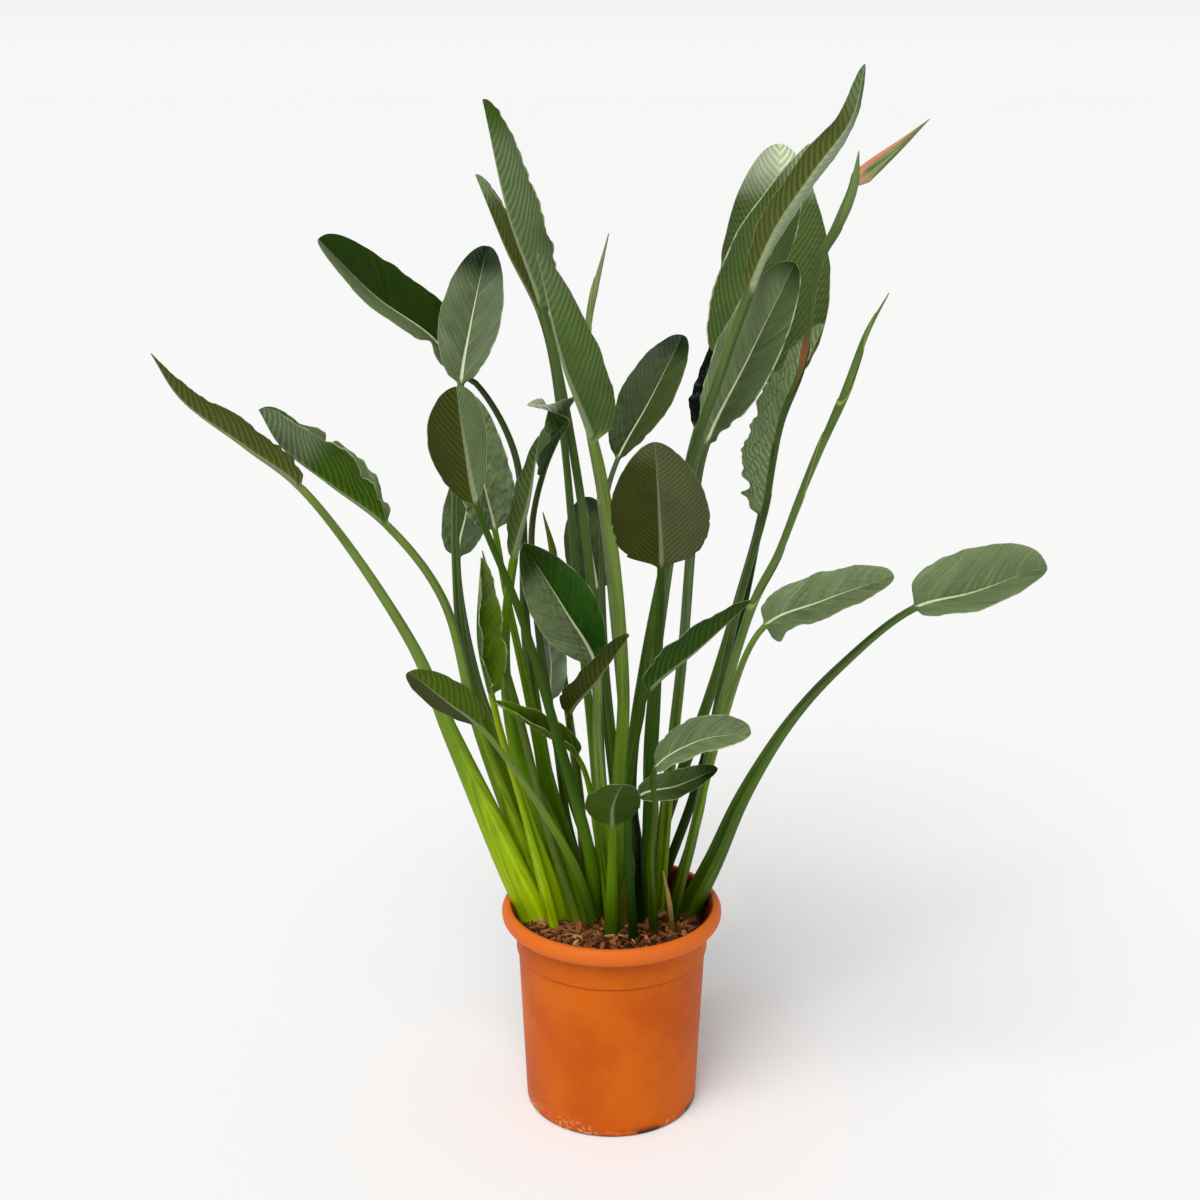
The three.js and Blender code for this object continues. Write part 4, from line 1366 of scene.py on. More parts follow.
@dataclass(frozen=True)
class FlowerBeak:
    """The boat-shaped bud that lies across the top of the first flower stalk."""

    points: tuple[Point, ...] = ((305, 104, 1243), (325, 101, 1262), (362, 100, 1293), (397, 100, 1324))
    height: tuple[Pair, ...] = (
        (0, 5), (0.05, 14), (0.14, 23.5), (0.34, 20), (0.72, 9), (1, 0.8),
    )
    flat: float = 0.6          # its width as a share of its height
    face: Point = (-0.6, 0.0, 0.8)
    corners: int = 36
    rows: int = 70

    def build(self, finish: Material) -> Thing:
        """Makes the bud's mesh and dresses it.

        Args:
            finish: Material of the bud.

        Returns:
            The finished object.
        """
        path = StemPath(list(self.points))
        parts = np.linspace(0.0, 1.0, self.rows)
        params, length = path.spread(0.0, 1.0, parts)
        centre, tangent = path.at(params), path.tangents(params)
        up, right = frames(tangent, np.array(self.face))
        places, sizes = zip(*self.height)
        tall = np.interp(parts, places, sizes)
        turns = 0.5 * np.pi - 2.0 * np.pi * np.arange(self.corners) / self.corners
        rise, spread = np.sin(turns), np.cos(turns)
        belly = 0.62 + 0.38 * (0.5 - 0.5 * rise) ** 0.6
        slit = 0.1 * np.exp(-(spread / 0.14) ** 2) * (rise > 0)
        x = 0.5 * self.flat * tall[:, None] * (spread * belly)[None, :]
        y = 0.5 * tall[:, None] * (rise - slit)[None, :]
        rings = centre[:, None] + x[:, :, None] * right[:, None] + y[:, :, None] * up[:, None]
        top = np.tile((0.5 + 0.5 * rise)[None, :], (self.rows, 1))
        base = np.tile((1.0 - smooth(parts, 0.04, 0.26))[:, None], (1, self.corners))
        form = np.stack([top, base, np.zeros_like(top), np.ones_like(top)], axis=-1)
        along = np.tile((parts * length * MM)[:, None], (1, self.corners))
        run = np.stack([np.tile(turns, (self.rows, 1)), along, np.zeros_like(top)], axis=-1)
        skin = Skin()
        skin.add_rings(rings, form, run)
        return skin.piece("flower_beak_grown", finish, ("flower_beak",))


# ------------------------------------------------------------------ pot and soil


@dataclass(frozen=True)
class Pot:
    """Round moulded pot: rolled rim, collar with a step below it, tapered body and drained floor."""

    rim_radius: float = 150.0
    roll: float = 12.0
    roll_width: float = 8.8
    height: float = 295.0
    base_radius: float = 118.2
    step_radius: float = 128.0
    step_drop: float = 65.0
    step_depth: float = 2.5
    wall: float = 4.0
    floor: float = 4.0
    foot_round: float = 5.0
    drain_radius: float = 5.0
    drain_circle: float = 78.0
    drain_count: int = 6
    sides: int = 180
    roll_steps: int = 28
    lip: float = 1.0           # the small ridge under the roll
    flare: float = 2.0         # how much the collar widens upward

    def profile(self) -> tuple[Array, Array]:
        """The wall's section from the axis underneath, up the outside and down the inside.

        Returns:
            Radii and heights of the section, and which of its points are inside the pot.
        """
        step = self.height - self.step_drop
        collar = self.step_radius + self.step_depth
        line: list[Pair] = [(0.0, 0.0), (40.0, 0.0)]
        foot_centre = (self.base_radius - self.foot_round, self.foot_round)
        for turn in np.linspace(-0.5 * np.pi, 0.0, 7):
            line.append((foot_centre[0] + self.foot_round * math.cos(turn),
                         foot_centre[1] + self.foot_round * math.sin(turn)))
        for share in np.linspace(0.06, 0.985, 24):
            line.append((self.base_radius + (self.step_radius - self.base_radius) * share, step * share))
        line.append((self.step_radius - 0.4, step - 0.9))
        for turn in np.linspace(-0.5 * np.pi, 0.0, 5):
            line.append((collar - 1.2 + 1.2 * math.cos(turn), step + 1.2 + 1.2 * math.sin(turn)))
        centre = (self.rim_radius - self.roll_width, self.height - self.roll)
        under = centre[1] - self.roll + 1.5
        flare = collar + self.flare
        line.extend([(collar + 0.4, step + 14.0), (flare - 0.6, under - 8.0), (flare, under - 2.2)])
        line.extend([(flare + self.lip, under - 1.6), (flare + self.lip, under - 0.4)])
        start = math.radians(-118.0)
        for turn in np.linspace(start, math.pi, self.roll_steps):
            line.append((centre[0] + self.roll_width * math.cos(turn),
                         centre[1] + self.roll * math.sin(turn)))
        outside = len(line) - self.roll_steps // 4
        slope = (self.step_radius - self.base_radius) / step
        inner = self.step_radius - self.wall
        line.extend([(inner + self.step_depth, step + self.step_depth), (inner, step - self.step_depth)])
        line.extend([(self.base_radius + slope * self.floor - self.wall, self.floor), (0.0, self.floor)])
        inside = np.arange(len(line)) >= outside
        return np.array(line), inside

    def build(self, finish: Material) -> Thing:
        """Turns the section, drills the drainage holes and dresses the pot.

        Args:
            finish: Material of the pot.

        Returns:
            The finished object.
        """
        line, inside = self.profile()
        builder = bmesh.new()
        mark = builder.verts.layers.float.new("inside")
        columns = []
        for (radius, height), within in zip(line, inside):
            if radius < 1e-6:
                vertex = builder.verts.new((0.0, 0.0, height * MM))
                vertex[mark] = float(within)
                columns.append([vertex] * self.sides)
                continue
            ring = []
            for side in range(self.sides):
                turn = 2.0 * math.pi * side / self.sides
                spot = (radius * math.cos(turn), radius * math.sin(turn), height)
                vertex = builder.verts.new([MM * part for part in spot])
                vertex[mark] = float(within)
                ring.append(vertex)
            columns.append(ring)
        for lower, upper in zip(columns, columns[1:]):
            for side in range(self.sides):
                after = (side + 1) % self.sides
                corners = [lower[side], lower[after], upper[after], upper[side]]
                builder.faces.new(list(dict.fromkeys(corners)))
        for face in builder.faces:
            face.smooth = True
        pot = built("nursery_pot", builder)
        self._drill(pot)
        return dress(pot, finish, ("pot",), crease=50.0)

    def _drill(self, pot: Thing) -> None:
        """Cuts the drainage holes through the floor.

        Args:
            pot: The turned pot.
        """
        builder = bmesh.new()
        for hole in range(self.drain_count):
            turn = (hole + 0.5) * 2.0 * math.pi / self.drain_count
            spot = Vector((math.cos(turn), math.sin(turn), 0.0)) * self.drain_circle * MM
            radius, depth = self.drain_radius * MM, 4.0 * self.floor * MM
            made = bmesh.ops.create_cone(builder, cap_ends=True, segments=28, radius1=radius,
                                         radius2=radius, depth=depth)
            bmesh.ops.translate(builder, verts=made["verts"], vec=spot)
        drill = built("drill", builder)
        cut = pot.modifiers.new("holes", "BOOLEAN")
        cut.operation, cut.object, cut.solver = "DIFFERENCE", drill, "EXACT"
        graph = bpy.context.evaluated_depsgraph_get()
        drilled = bpy.data.meshes.new_from_object(pot.evaluated_get(graph))
        pot.modifiers.clear()
        pot.data = drilled
        bpy.data.objects.remove(drill)


@dataclass(frozen=True)
class Soil:
    """Mound of potting mix that fills the pot, with bark chips and crumbs strewn over it."""

    radius: float = 121.4
    floor_radius: float = 111.4
    floor: float = 4.4
    shoulder: float = 234.5
    mound: float = 5.0
    sides: int = 128
    rings: int = 34
    roughness: float = 2.4
    chips: int = 900
    chip_corners: int = 7
    chip_length: Pair = (6.0, 30.0)
    chip_draw: Pair = (2.68, 0.36)      # mean and spread of the length's logarithm
    chip_slimness: Pair = (0.2, 0.42)   # width as a share of the length
    chip_thickness: Pair = (1.0, 2.6)
    chip_tilt: float = 0.26    # spread of its tilt, in radians
    chip_lift: Pair = (-0.2, 3.4)       # of its middle over the soil
    crumbs: int = 700
    crumb_size: Pair = (0.7, 1.9)
    seed: int = 4177

    def height(self, x: Array, y: Array) -> Array:
        """Height of the soil's surface.

        Args:
            x: Places to the right.
            y: Places to the back.

        Returns:
            Heights in millimetres.
        """
        out = np.hypot(x, y) / self.radius
        broad = np.sin(0.09 * x + 0.04 * y) * np.sin(0.07 * y - 0.05 * x + 1.3)
        small = 0.6 * np.sin(0.23 * x + 1.0) * np.sin(0.21 * y)
        uneven = self.roughness * (broad + small) * (1.0 - out ** 4)
        return SOIL_LEVEL + self.mound * (1.0 - out ** 2) + uneven

    def add_ground(self, skin: Skin) -> None:
        """Adds the plug of potting mix.

        Args:
            skin: The piece that it becomes part of.
        """
        turns = 2.0 * np.pi * np.arange(self.sides) / self.sides
        rows = [(self.floor_radius, self.floor, True), (self.radius, self.shoulder, True)]
        rows += [(self.radius * share, 0.0, False) for share in np.linspace(1.0, 0.03, self.rings)]
        rings = []
        for radius, height, fixed in rows:
            x, y = radius * np.cos(turns), radius * np.sin(turns)
            z = np.full_like(x, height) if fixed else self.height(x, y)
            rings.append(np.stack([x, y, z], axis=-1))
        points = np.array(rings)
        form = np.zeros((*points.shape[:2], 4))
        run = np.zeros((*points.shape[:2], 3))
        skin.add_rings(points, form, run)

    def add_chips(self, skin: Skin, random: np.random.Generator) -> None:
        """Adds bark chips: short splinters with uneven ends, lying at all angles.

        Args:
            skin: The piece that they become part of.
            random: Source of the draws.
        """
        for _ in range(self.chips):
            length = float(np.clip(random.lognormal(*self.chip_draw), *self.chip_length))
            width = length * random.uniform(*self.chip_slimness)
            thick = random.uniform(*self.chip_thickness)
            spot = self._spot(self.radius - 1.5 - 0.42 * length, random)
            tilt = random.normal(0.0, self.chip_tilt, 2)
            turn = random.uniform(0.0, math.pi)
            sides = self.chip_corners
            angles = 2.0 * np.pi * (np.arange(sides) + random.uniform(-0.25, 0.25, sides)) / sides
            size = random.uniform(0.8, 1.12, sides)
            x = 0.5 * length * size * np.sign(np.cos(angles)) * np.abs(np.cos(angles)) ** 0.7
            y = 0.5 * width * size * np.sin(angles)
            bend = random.uniform(-0.06, 0.06) * x ** 2 / length
            top = np.stack([0.92 * x, 0.86 * y, bend + 0.5 * thick], axis=-1)
            low = np.stack([x, y, bend - 0.5 * thick], axis=-1)
            points = self._turned(np.vstack([low, top]), tilt, turn)
            spot[2] += random.uniform(*self.chip_lift)
            faces = [tuple(range(sides - 1, -1, -1)), tuple(range(sides, 2 * sides))]
            for step in range(sides):
                after = (step + 1) % sides
                faces.append((step, after, sides + after, sides + step))
            tone = float(random.beta(1.6, 2.0))
            form = np.tile([tone, 1.0, 0.0, 1.0], (2 * sides, 1))
            form[:, 2] = np.concatenate([x, x]) * 0.1
            skin.add(points + spot, faces, form, np.zeros((2 * sides, 3)))

    def add_crumbs(self, skin: Skin, random: np.random.Generator) -> None:
        """Adds small dark crumbs of potting mix.

        Args:
            skin: The piece that they become part of.
            random: Source of the draws.
        """
        corners = np.array([(1, 1, 1), (1, -1, -1), (-1, 1, -1), (-1, -1, 1)], dtype=float)
        faces = [(0, 1, 2), (0, 3, 1), (0, 2, 3), (1, 3, 2)]
        for _ in range(self.crumbs):
            size = random.uniform(*self.crumb_size)
            spot = self._spot(self.radius - 3.0, random)
            spot[2] += 0.8 * size
            shape = corners * size * random.uniform(0.7, 1.2, (4, 3))
            points = self._turned(shape, random.normal(0.0, 1.0, 2), random.uniform(0.0, math.pi))
            form = np.tile([random.uniform(0.0, 0.5), random.uniform(0.0, 1.0) ** 3, 0.0, 1.0], (4, 1))
            skin.add(points + spot, faces, form, np.zeros((4, 3)))

    def _spot(self, reach: float, random: np.random.Generator) -> Array:
        """A random point on the soil.

        Args:
            reach: How far from the middle it may be.
            random: Source of the draws.

        Returns:
            The point.
        """
        out = reach * math.sqrt(random.uniform())
        around = random.uniform(0.0, 2.0 * math.pi)
        x, y = np.array([out * math.cos(around)]), np.array([out * math.sin(around)])
        return np.concatenate([x, y, self.height(x, y)])

    @staticmethod
    def _turned(points: Array, tilt: Array, turn: float) -> Array:
        """Points tipped about two level axes and then turned about the upright one.

        Args:
            points: The points round the origin.
            tilt: Angles about x and y in radians.
            turn: Angle about z in radians.

        Returns:
            The moved points.
        """
        (cx, sx), (cy, sy), (cz, sz) = ((math.cos(a), math.sin(a)) for a in (*tilt, turn))
        about_x = np.array([[1, 0, 0], [0, cx, -sx], [0, sx, cx]])
        about_y = np.array([[cy, 0, sy], [0, 1, 0], [-sy, 0, cy]])
        about_z = np.array([[cz, -sz, 0], [sz, cz, 0], [0, 0, 1]])
        return points @ (about_z @ about_y @ about_x).T

    def build(self, finish: Material) -> Thing:
        """Makes the soil and dresses it.

        Args:
            finish: Material of the soil.

        Returns:
            The finished object.
        """
        random = np.random.default_rng(self.seed)
        skin = Skin()
        self.add_ground(skin)
        self.add_chips(skin, random)
        self.add_crumbs(skin, random)
        return skin.piece("soil_with_bark", finish, ("soil",), crease=34.0)


LEAVES: tuple[tuple[LeafShape, Wear], ...] = (
    (LeafShape(
        "leaf_left_1", root=(-96, 6), sheath=(32, 22), neck=11,
        stalk=((-140, 5, 370), (-210, -5, 540), (-260, -20, 675)),
        blade=((-386, -45, 882), (-452, -56, 939), (-526, -66, 1001), (-556, -75, 1057)),
        width=54, face=(0.62, 0.1, 0.75), fold=(86, 42), wave=1.5, blunt=0.95, low=0.8,
    ), Wear(
        upper=Green.MOSS, under=Green.BRONZE, stalk=Green.PEA, foot=Green.BUTTER, crinkle=3.0, crumple=0.3,
        ragged=0.12, spread=2.0,
    )),
    (LeafShape(
        "leaf_left_2", root=(-88, 36), sheath=(22, 20), neck=11,
        stalk=((-125, 30, 385), (-180, 20, 550), (-220, 5, 725)),
        blade=((-286, -10, 826), (-356, -22, 885), (-413, -32, 935), (-437, -40, 982)),
        width=104, face=(0.6, -0.1, 0.78), fold=(82, 56), wave=2, blunt=0.45, low=0.9,
    ), Wear(
        upper=Green.MIST, under=Green.IVY, stalk=Green.PEA, foot=Green.BUTTER, tip=Green.SHEEN_GREY, tip_from=0.6,
        edge=0.6, crinkle=4.5, crumple=0.5, ragged=0.14,
        dents=((0.06, -1, 0.55, 0.09), (0.2, -1, 0.25, 0.05), (0.3, -1, 0.16, 0.04), (0.55, 1, 0.3, 0.02)),
        spread=2.0,
    )),
    (LeafShape(
        "leaf_left_3", root=(-64, 32), sheath=(20, 20), neck=9,
        stalk=((-103, 50, 365), (-190, 50, 595), (-205, 40, 765)),
        blade=((-195, 60, 995), (-185, 100, 1060), (-165, 170, 1160)),
        width=84, face=(0.1, -0.8, 0.5), fold=(15, 32), wave=1.5, blunt=0.5, low=0.85,
    ), Wear(
        upper=Green.SHEEN_GREY, under=Green.FERN, stalk=Green.FERN, foot=Green.BUTTER, tip=Green.PINE,
        tip_from=0.78, edge=0.5, crinkle=1.5, spread=2.0,
    )),
    (LeafShape(
        "leaf_left_4", root=(-80, 64), sheath=(18, 18), neck=8,
        stalk=((-115, 80, 380), (-185, 110, 575)),
        blade=((-210, 130, 745), (-200, 165, 800), (-190, 210, 875)),
        width=66, face=(0.15, -0.8, 0.5), fold=(25, 25), wave=1.5,
    ), Wear(
        upper=Green.SAGE, under=Green.IVY, stalk=Green.FERN, foot=Green.LIME, sides=(1.1, 0.8), crumple=0.5,
        spread=1.6,
    )),
    (LeafShape(
        "leaf_left_5", root=(-55, 60), sheath=(22, 20), neck=8,
        stalk=((-80, 65, 385), (-115, 85, 640), (-129, 120, 890), (-178, 132, 982)),
        blade=((-199, 138, 996), (-239, 138, 1046), (-309, 130, 1099), (-379, 120, 1174)),
        width=98, face=(0.45, -0.45, 0.75), fold=(26, 45), wave=1, blunt=0.42, low=0.95,
    ), Wear(
        upper=Green.MIST, under=Green.FERN, stalk=Green.MOSS, foot=Green.BUTTER, other=Green.HOLLY,
        crinkle=1.5, dents=((0.12, -1, -0.5, 0.06), (0.24, -1, 0.5, 0.04)), spread=1.5,
    )),
    (LeafShape(
        "leaf_left_6", root=(-39, 28), sheath=(20, 20), neck=8,
        stalk=((-75, 22, 405), (-110, 20, 580), (-140, 24, 733)),
        blade=((-152, 24, 811), (-168, 14, 896), (-175, 10, 990)),
        width=80, face=(0.2, -0.85, 0.4), fold=(30, 40), wave=3,
    ), Wear(
        upper=Green.MIST, under=Green.FERN, stalk=Green.APPLE, foot=Green.LEAF, edge=0.5, crinkle=6.0,
        crumple=1.2, ragged=0.1, spread=2.0,
    )),
    (LeafShape(
        "leaf_left_7", root=(-46, 2), sheath=(26, 22), neck=12,
        stalk=((-85, 0, 400), (-130, -10, 535), (-140, -15, 660)),
        blade=((-127, -14, 782), (-106, -10, 863), (-93, -5, 942)),
        width=40, face=(-0.75, 0.5, 0.4), fold=(55, 62), wave=2, blunt=0.8, low=0.9,
    ), Wear(
        upper=Green.IVY, under=Green.MOSS, stalk=Green.APPLE, foot=Green.APPLE, spread=1.9,
    )),
    (LeafShape(
        "leaf_left_8", root=(-70, -16), sheath=(18, 20), neck=9,
        stalk=((-110, -32, 425), (-145, -48, 560)),
        blade=((-155, -52, 610), (-170, -60, 690), (-165, -65, 800)),
        width=64, face=(0.7, -0.5, 0.4), fold=(50, 60), wave=3,
    ), Wear(
        upper=Green.APPLE, under=Green.IVY, stalk=Green.LIME, foot=Green.BUTTER, tip=Green.PEA,
        tip_from=0.7, edge=0.8, crinkle=4.0, crumple=0.6, ragged=0.08, spread=2.0,
    )),
    (LeafShape(
        "leaf_left_9", root=(-34, 56), sheath=(16, 16), neck=7,
        stalk=((-60, 70, 375), (-75, 100, 465)), blade=((-85, 125, 540), (-85, 145, 595), (-95, 160, 650)),
        width=46, face=(0.1, -0.8, 0.5), fold=(25, 25), wave=3,
    ), Wear(
        upper=Green.SILVER, under=Green.FERN, stalk=Green.LEAF, foot=Green.LEAF,
    )),
    (LeafShape(
        "leaf_middle_1", root=(-24, -24), sheath=(14, 16), neck=6.5,
        stalk=((-50, -50, 370), (-105, -105, 500)),
        blade=((-164, -155, 609), (-201, -185, 653), (-242, -215, 701)),
        width=60, face=(0.2, 0.95, 0.2), fold=(20, 24), wave=1, blunt=0.5, low=0.9,
    ), Wear(
        upper=Green.OLIVE, under=Green.LEAF, stalk=Green.PEA, foot=Green.LEAF, other=Green.OLIVE, edge=0.1,
        crinkle=0.6,
    )),
    (LeafShape(
        "leaf_middle_2", root=(-20, 4), sheath=(20, 20), neck=8,
        stalk=((-30, -45, 385), (-65, -100, 555), (-115, -140, 755)),
        blade=((-162, -160, 891), (-172, -178, 961), (-179, -205, 1040)),
        width=92, face=(0.1, 0.95, 0.25), fold=(74, 14), wave=1, full=0.55, blunt=0.6, low=1,
    ), Wear(
        upper=Green.SAGE, under=Green.MIST, stalk=Green.IVY, foot=Green.APPLE, other=Green.OLIVE, edge=0.5,
        crinkle=1.0,
    )),
    (LeafShape(
        "leaf_middle_3", root=(-2, -20), sheath=(14, 14), neck=7,
        stalk=((-18, -28, 395),), blade=((-45, -44, 523), (-95, -54, 564), (-153, -68, 609)),
        width=46, face=(0.45, -0.6, 0.7), fold=(72, 60), wave=2, blunt=0.6,
    ), Wear(
        upper=Green.LEAF, under=Green.LEAF, stalk=Green.APPLE, foot=Green.APPLE, tip=Green.APPLE, edge=0.5,
    )),
    (LeafShape(
        "leaf_middle_4", root=(-14, 28), sheath=(14, 14), neck=7,
        stalk=((-40, 4, 415), (-50, -8, 520)), blade=((-55, -50, 585), (-20, -108, 652), (20, -125, 717)),
        width=50, face=(-0.55, 0.3, 0.7), fold=(62, 62), wave=1.5, blunt=0.4,
    ), Wear(
        upper=Green.OLIVE, under=Green.OLIVE, stalk=Green.LEAF, foot=Green.APPLE, crinkle=2.5,
    )),
    (LeafShape(
        "leaf_middle_5", root=(-8, 56), sheath=(18, 18), neck=8,
        stalk=((-70, 60, 475), (-100, 45, 685), (-105, 35, 810)),
        blade=((-90, 20, 885), (-70, 0, 935), (-55, -20, 965), (-75, -40, 980), (-105, -55, 990)),
        width=70, face=(-0.6, -0.3, 0.6), fold=(35, 40), wave=2,
    ), Wear(
        upper=Green.FERN, under=Green.HOLLY, stalk=Green.MOSS, foot=Green.APPLE, tip=Green.PALE,
        tip_from=0.8,
    )),
    (LeafShape(
        "leaf_middle_6", root=(2, 6), sheath=(20, 22), neck=10,
        stalk=((-13, -20, 450), (-20, -35, 560)),
        blade=((-22, -54, 655), (-60, -77, 735), (-110, -110, 830)),
        width=92, face=(0.1, -0.85, 0.4), fold=(26, 46), wave=1.5, low=1.05,
    ), Wear(
        upper=Green.MIST, under=Green.FERN, stalk=Green.CELERY, foot=Green.APPLE, tip=Green.HOLLY,
        other=Green.GRASS, tip_from=0.78, edge=0.4, crinkle=2.0, crumple=0.5,
    )),
    (LeafShape(
        "leaf_middle_7", root=(8, 36), sheath=(20, 20), neck=11,
        stalk=((-12, 28, 460), (-25, 20, 720), (-45, 20, 890)),
        blade=((-85, 0, 1100), (-125, -10, 1215), (-155, -20, 1350)),
        width=108, face=(0.93, 0.1, 0.3), fold=(48, 46), wave=1, blunt=0.45, low=0.75,
    ), Wear(
        upper=Green.MOSS, under=Green.SAGE, stalk=Green.FERN, foot=Green.APPLE, tip=Green.IVY,
        tip_from=0.86, edge=0.6, crinkle=5.5, crumple=0.3, ragged=0.22,
    )),
    (LeafShape(
        "leaf_middle_8", root=(-12, 84), sheath=(18, 18), neck=10,
        stalk=((-20, 105, 425), (-45, 120, 690), (-65, 115, 925)),
        blade=((-90, 115, 1070), (-135, 120, 1160), (-175, 120, 1255)),
        width=80, face=(0.93, 0.1, 0.3), fold=(38, 45), wave=1, blunt=0.5,
    ), Wear(
        upper=Green.IVY, under=Green.BRONZE, stalk=Green.FERN, foot=Green.CELERY, tip=Green.MIST,
        tip_from=0.85, edge=0.5, crumple=0.4,
    )),
    (LeafShape(
        "leaf_middle_9", root=(17, 65), sheath=(18, 18), neck=9,
        stalk=((10, 85, 375), (-10, 125, 540)), blade=((-20, 175, 685), (-30, 210, 745), (-35, 255, 800)),
        width=78, face=(0.05, -0.8, 0.5), fold=(22, 22), wave=2, blunt=0.5,
    ), Wear(
        upper=Green.MOSS, under=Green.FERN, stalk=Green.FERN, foot=Green.APPLE, tip=Green.PINE,
        tip_from=0.82,
    )),
    (LeafShape(
        "leaf_centre_1", root=(0, -48), sheath=(20, 22), neck=10,
        stalk=((0, -65, 355),), blade=((0, -100, 450), (0, -160, 505), (10, -235, 565)),
        width=70, face=(0, 0.6, 0.75), fold=(15, 15), wave=1.5, full=0.5, blunt=0.5,
    ), Wear(
        upper=Green.IVY, under=Green.IVY, stalk=Green.APPLE, foot=Green.LEAF, sides=(0.8, 1.0),
    )),
    (LeafShape(
        "leaf_centre_2", root=(25, -4), sheath=(22, 20), neck=13,
        stalk=((10, -35, 455), (15, -55, 620), (0, -70, 820)),
        blade=((-23, -85, 950), (-59, -112, 1053), (-89, -140, 1184)),
        width=92, face=(0.85, 0.4, 0.35), fold=(66, 70), wave=0.8, blunt=0.62, low=0.68,
    ), Wear(
        upper=Green.MOSS, under=Green.FERN, stalk=Green.PEA, foot=Green.LEAF, tip=Green.SAGE, edge=0.1,
        pleat=0.6, spread=1.2,
    )),
    (LeafShape(
        "leaf_centre_3", root=(34, 22), sheath=(16, 16), neck=7,
        stalk=((10, 45, 435), (-10, 85, 630), (-10, 125, 815)),
        blade=((7, 145, 877), (50, 175, 951), (97, 215, 1036)),
        width=88, face=(-0.35, -0.7, 0.55), fold=(16, 28), wave=1, blunt=0.5, low=1,
    ), Wear(
        upper=Green.MOSS, under=Green.FERN, stalk=Green.SAGE, foot=Green.CELERY, tip=Green.PINE,
        tip_from=0.84, sides=(0.8, 1.1), edge=0.3, crinkle=4.0, crumple=0.2, ragged=0.14,
    )),
    (LeafShape(
        "leaf_centre_4", root=(50, -6), sheath=(20, 22), neck=10,
        stalk=((50, -25, 455), (55, -70, 610)), blade=((58, -140, 808), (52, -220, 902), (43, -330, 1002)),
        width=116, face=(0, 0.5, 0.85), fold=(12, 12), wave=1, full=0.5, blunt=0.6, low=0.62,
    ), Wear(
        upper=Green.IVY, under=Green.STONE, stalk=Green.IVY, foot=Green.IVY, tip=Green.STONE,
        other=Green.OLIVE, tip_from=0.85, edge=0.1, crinkle=2.5, crumple=0.25, ragged=0.12, pleat=0.5,
    )),
    (LeafShape(
        "leaf_centre_5", root=(36, -26), sheath=(14, 14), neck=7,
        stalk=((36, -42, 395),), blade=((35, -60, 474), (85, -70, 494), (135, -85, 524)),
        width=42, face=(-0.2, -0.7, 0.7), fold=(20, 25), wave=1.5, blunt=0.5,
    ), Wear(
        upper=Green.FERN, under=Green.MOSS, stalk=Green.INK, foot=Green.PINE, tip=Green.HOLLY, tip_from=0.8,
        edge=0.7, crinkle=1.5, crumple=0.3,
    )),
    (LeafShape(
        "leaf_centre_6", root=(38, 48), sheath=(20, 20), neck=12,
        stalk=((25, 55, 435), (45, 0, 650), (97, -105, 948), (121, -124, 1028)),
        blade=((155, -124, 1130), (186, -118, 1205), (230, -110, 1272), (272, -100, 1331),
               (286, -90, 1390)),
        width=46, face=(-0.7, 0.6, 0.35), fold=(14, 70), wave=1.2, blunt=0.6, low=0.85,
    ), Wear(
        upper=Green.FERN, under=Green.SILVER, stalk=Green.FERN, foot=Green.LEAF, tip=Green.SAGE,
        other=Green.BRONZE, tip_from=0.82, edge=0.4, crinkle=2.0,
    )),
    (LeafShape(
        "leaf_right_1", root=(56, -50), sheath=(14, 14), neck=7,
        stalk=((50, -80, 395), (55, -115, 480)),
        blade=((53, -140, 547), (107, -160, 592), (168, -180, 610)),
        width=66, face=(-0.35, -0.45, 0.8), fold=(18, 25), wave=1, full=0.5, blunt=0.4, low=0.9,
    ), Wear(
        upper=Green.MIST, under=Green.SAGE, stalk=Green.LEAF, foot=Green.OLIVE, sides=(0.95, 1.15),
        edge=0.8, crinkle=2.0, crumple=0.3,
    )),
    (LeafShape(
        "leaf_right_2", root=(64, 10), sheath=(18, 20), neck=9,
        stalk=((75, -5, 465), (90, -35, 665), (100, -60, 850)),
        blade=((114, -70, 944), (160, -95, 1053), (210, -120, 1169)),
        width=88, face=(-0.35, -0.75, 0.45), fold=(15, 22), wave=1, full=0.55, blunt=0.42, low=1.05,
    ), Wear(
        upper=Green.MIST, under=Green.SAGE, stalk=Green.SAGE, foot=Green.LIME, tip=Green.PINE,
        other=Green.SAGE, tip_from=0.93, edge=0.8, crinkle=1.0, ragged=0.08,
        dents=((0.1, 1, 0.35, 0.05), (0.2, 1, 0.15, 0.04)),
    )),
    (LeafShape(
        "leaf_right_3", root=(62, 38), sheath=(18, 18), neck=9,
        stalk=((50, 50, 485), (70, 65, 705)), blade=((110, 85, 930), (152, 100, 1035), (206, 120, 1129)),
        width=50, face=(-0.4, -0.75, 0.45), fold=(20, 25), wave=3.5,
    ), Wear(
        upper=Green.INK, under=Green.FERN, stalk=Green.SAGE, foot=Green.LEAF, edge=0.1, crinkle=6.0,
        crumple=0.8, ragged=0.15,
    )),
    (LeafShape(
        "leaf_right_4", root=(62, 60), sheath=(20, 18), neck=10,
        stalk=((78, 80, 429), (96, 75, 628), (106, 72, 786), (117, 62, 936)),
        blade=((140, 50, 1025), (195, 65, 1165), (245, 80, 1295)),
        width=96, face=(-0.3, 0.8, 0.4), fold=(20, 30), wave=1.5, blunt=0.85,
    ), Wear(
        upper=Green.MOSS, under=Green.FERN, stalk=Green.FERN, foot=Green.OLIVE, tip=Green.SILVER,
        tip_from=0.86, sides=(1.0, 0.85), edge=1.0, crinkle=1.5, pleat=0.85,
    )),
    (LeafShape(
        "leaf_right_5", root=(46, 86), sheath=(20, 20), neck=10,
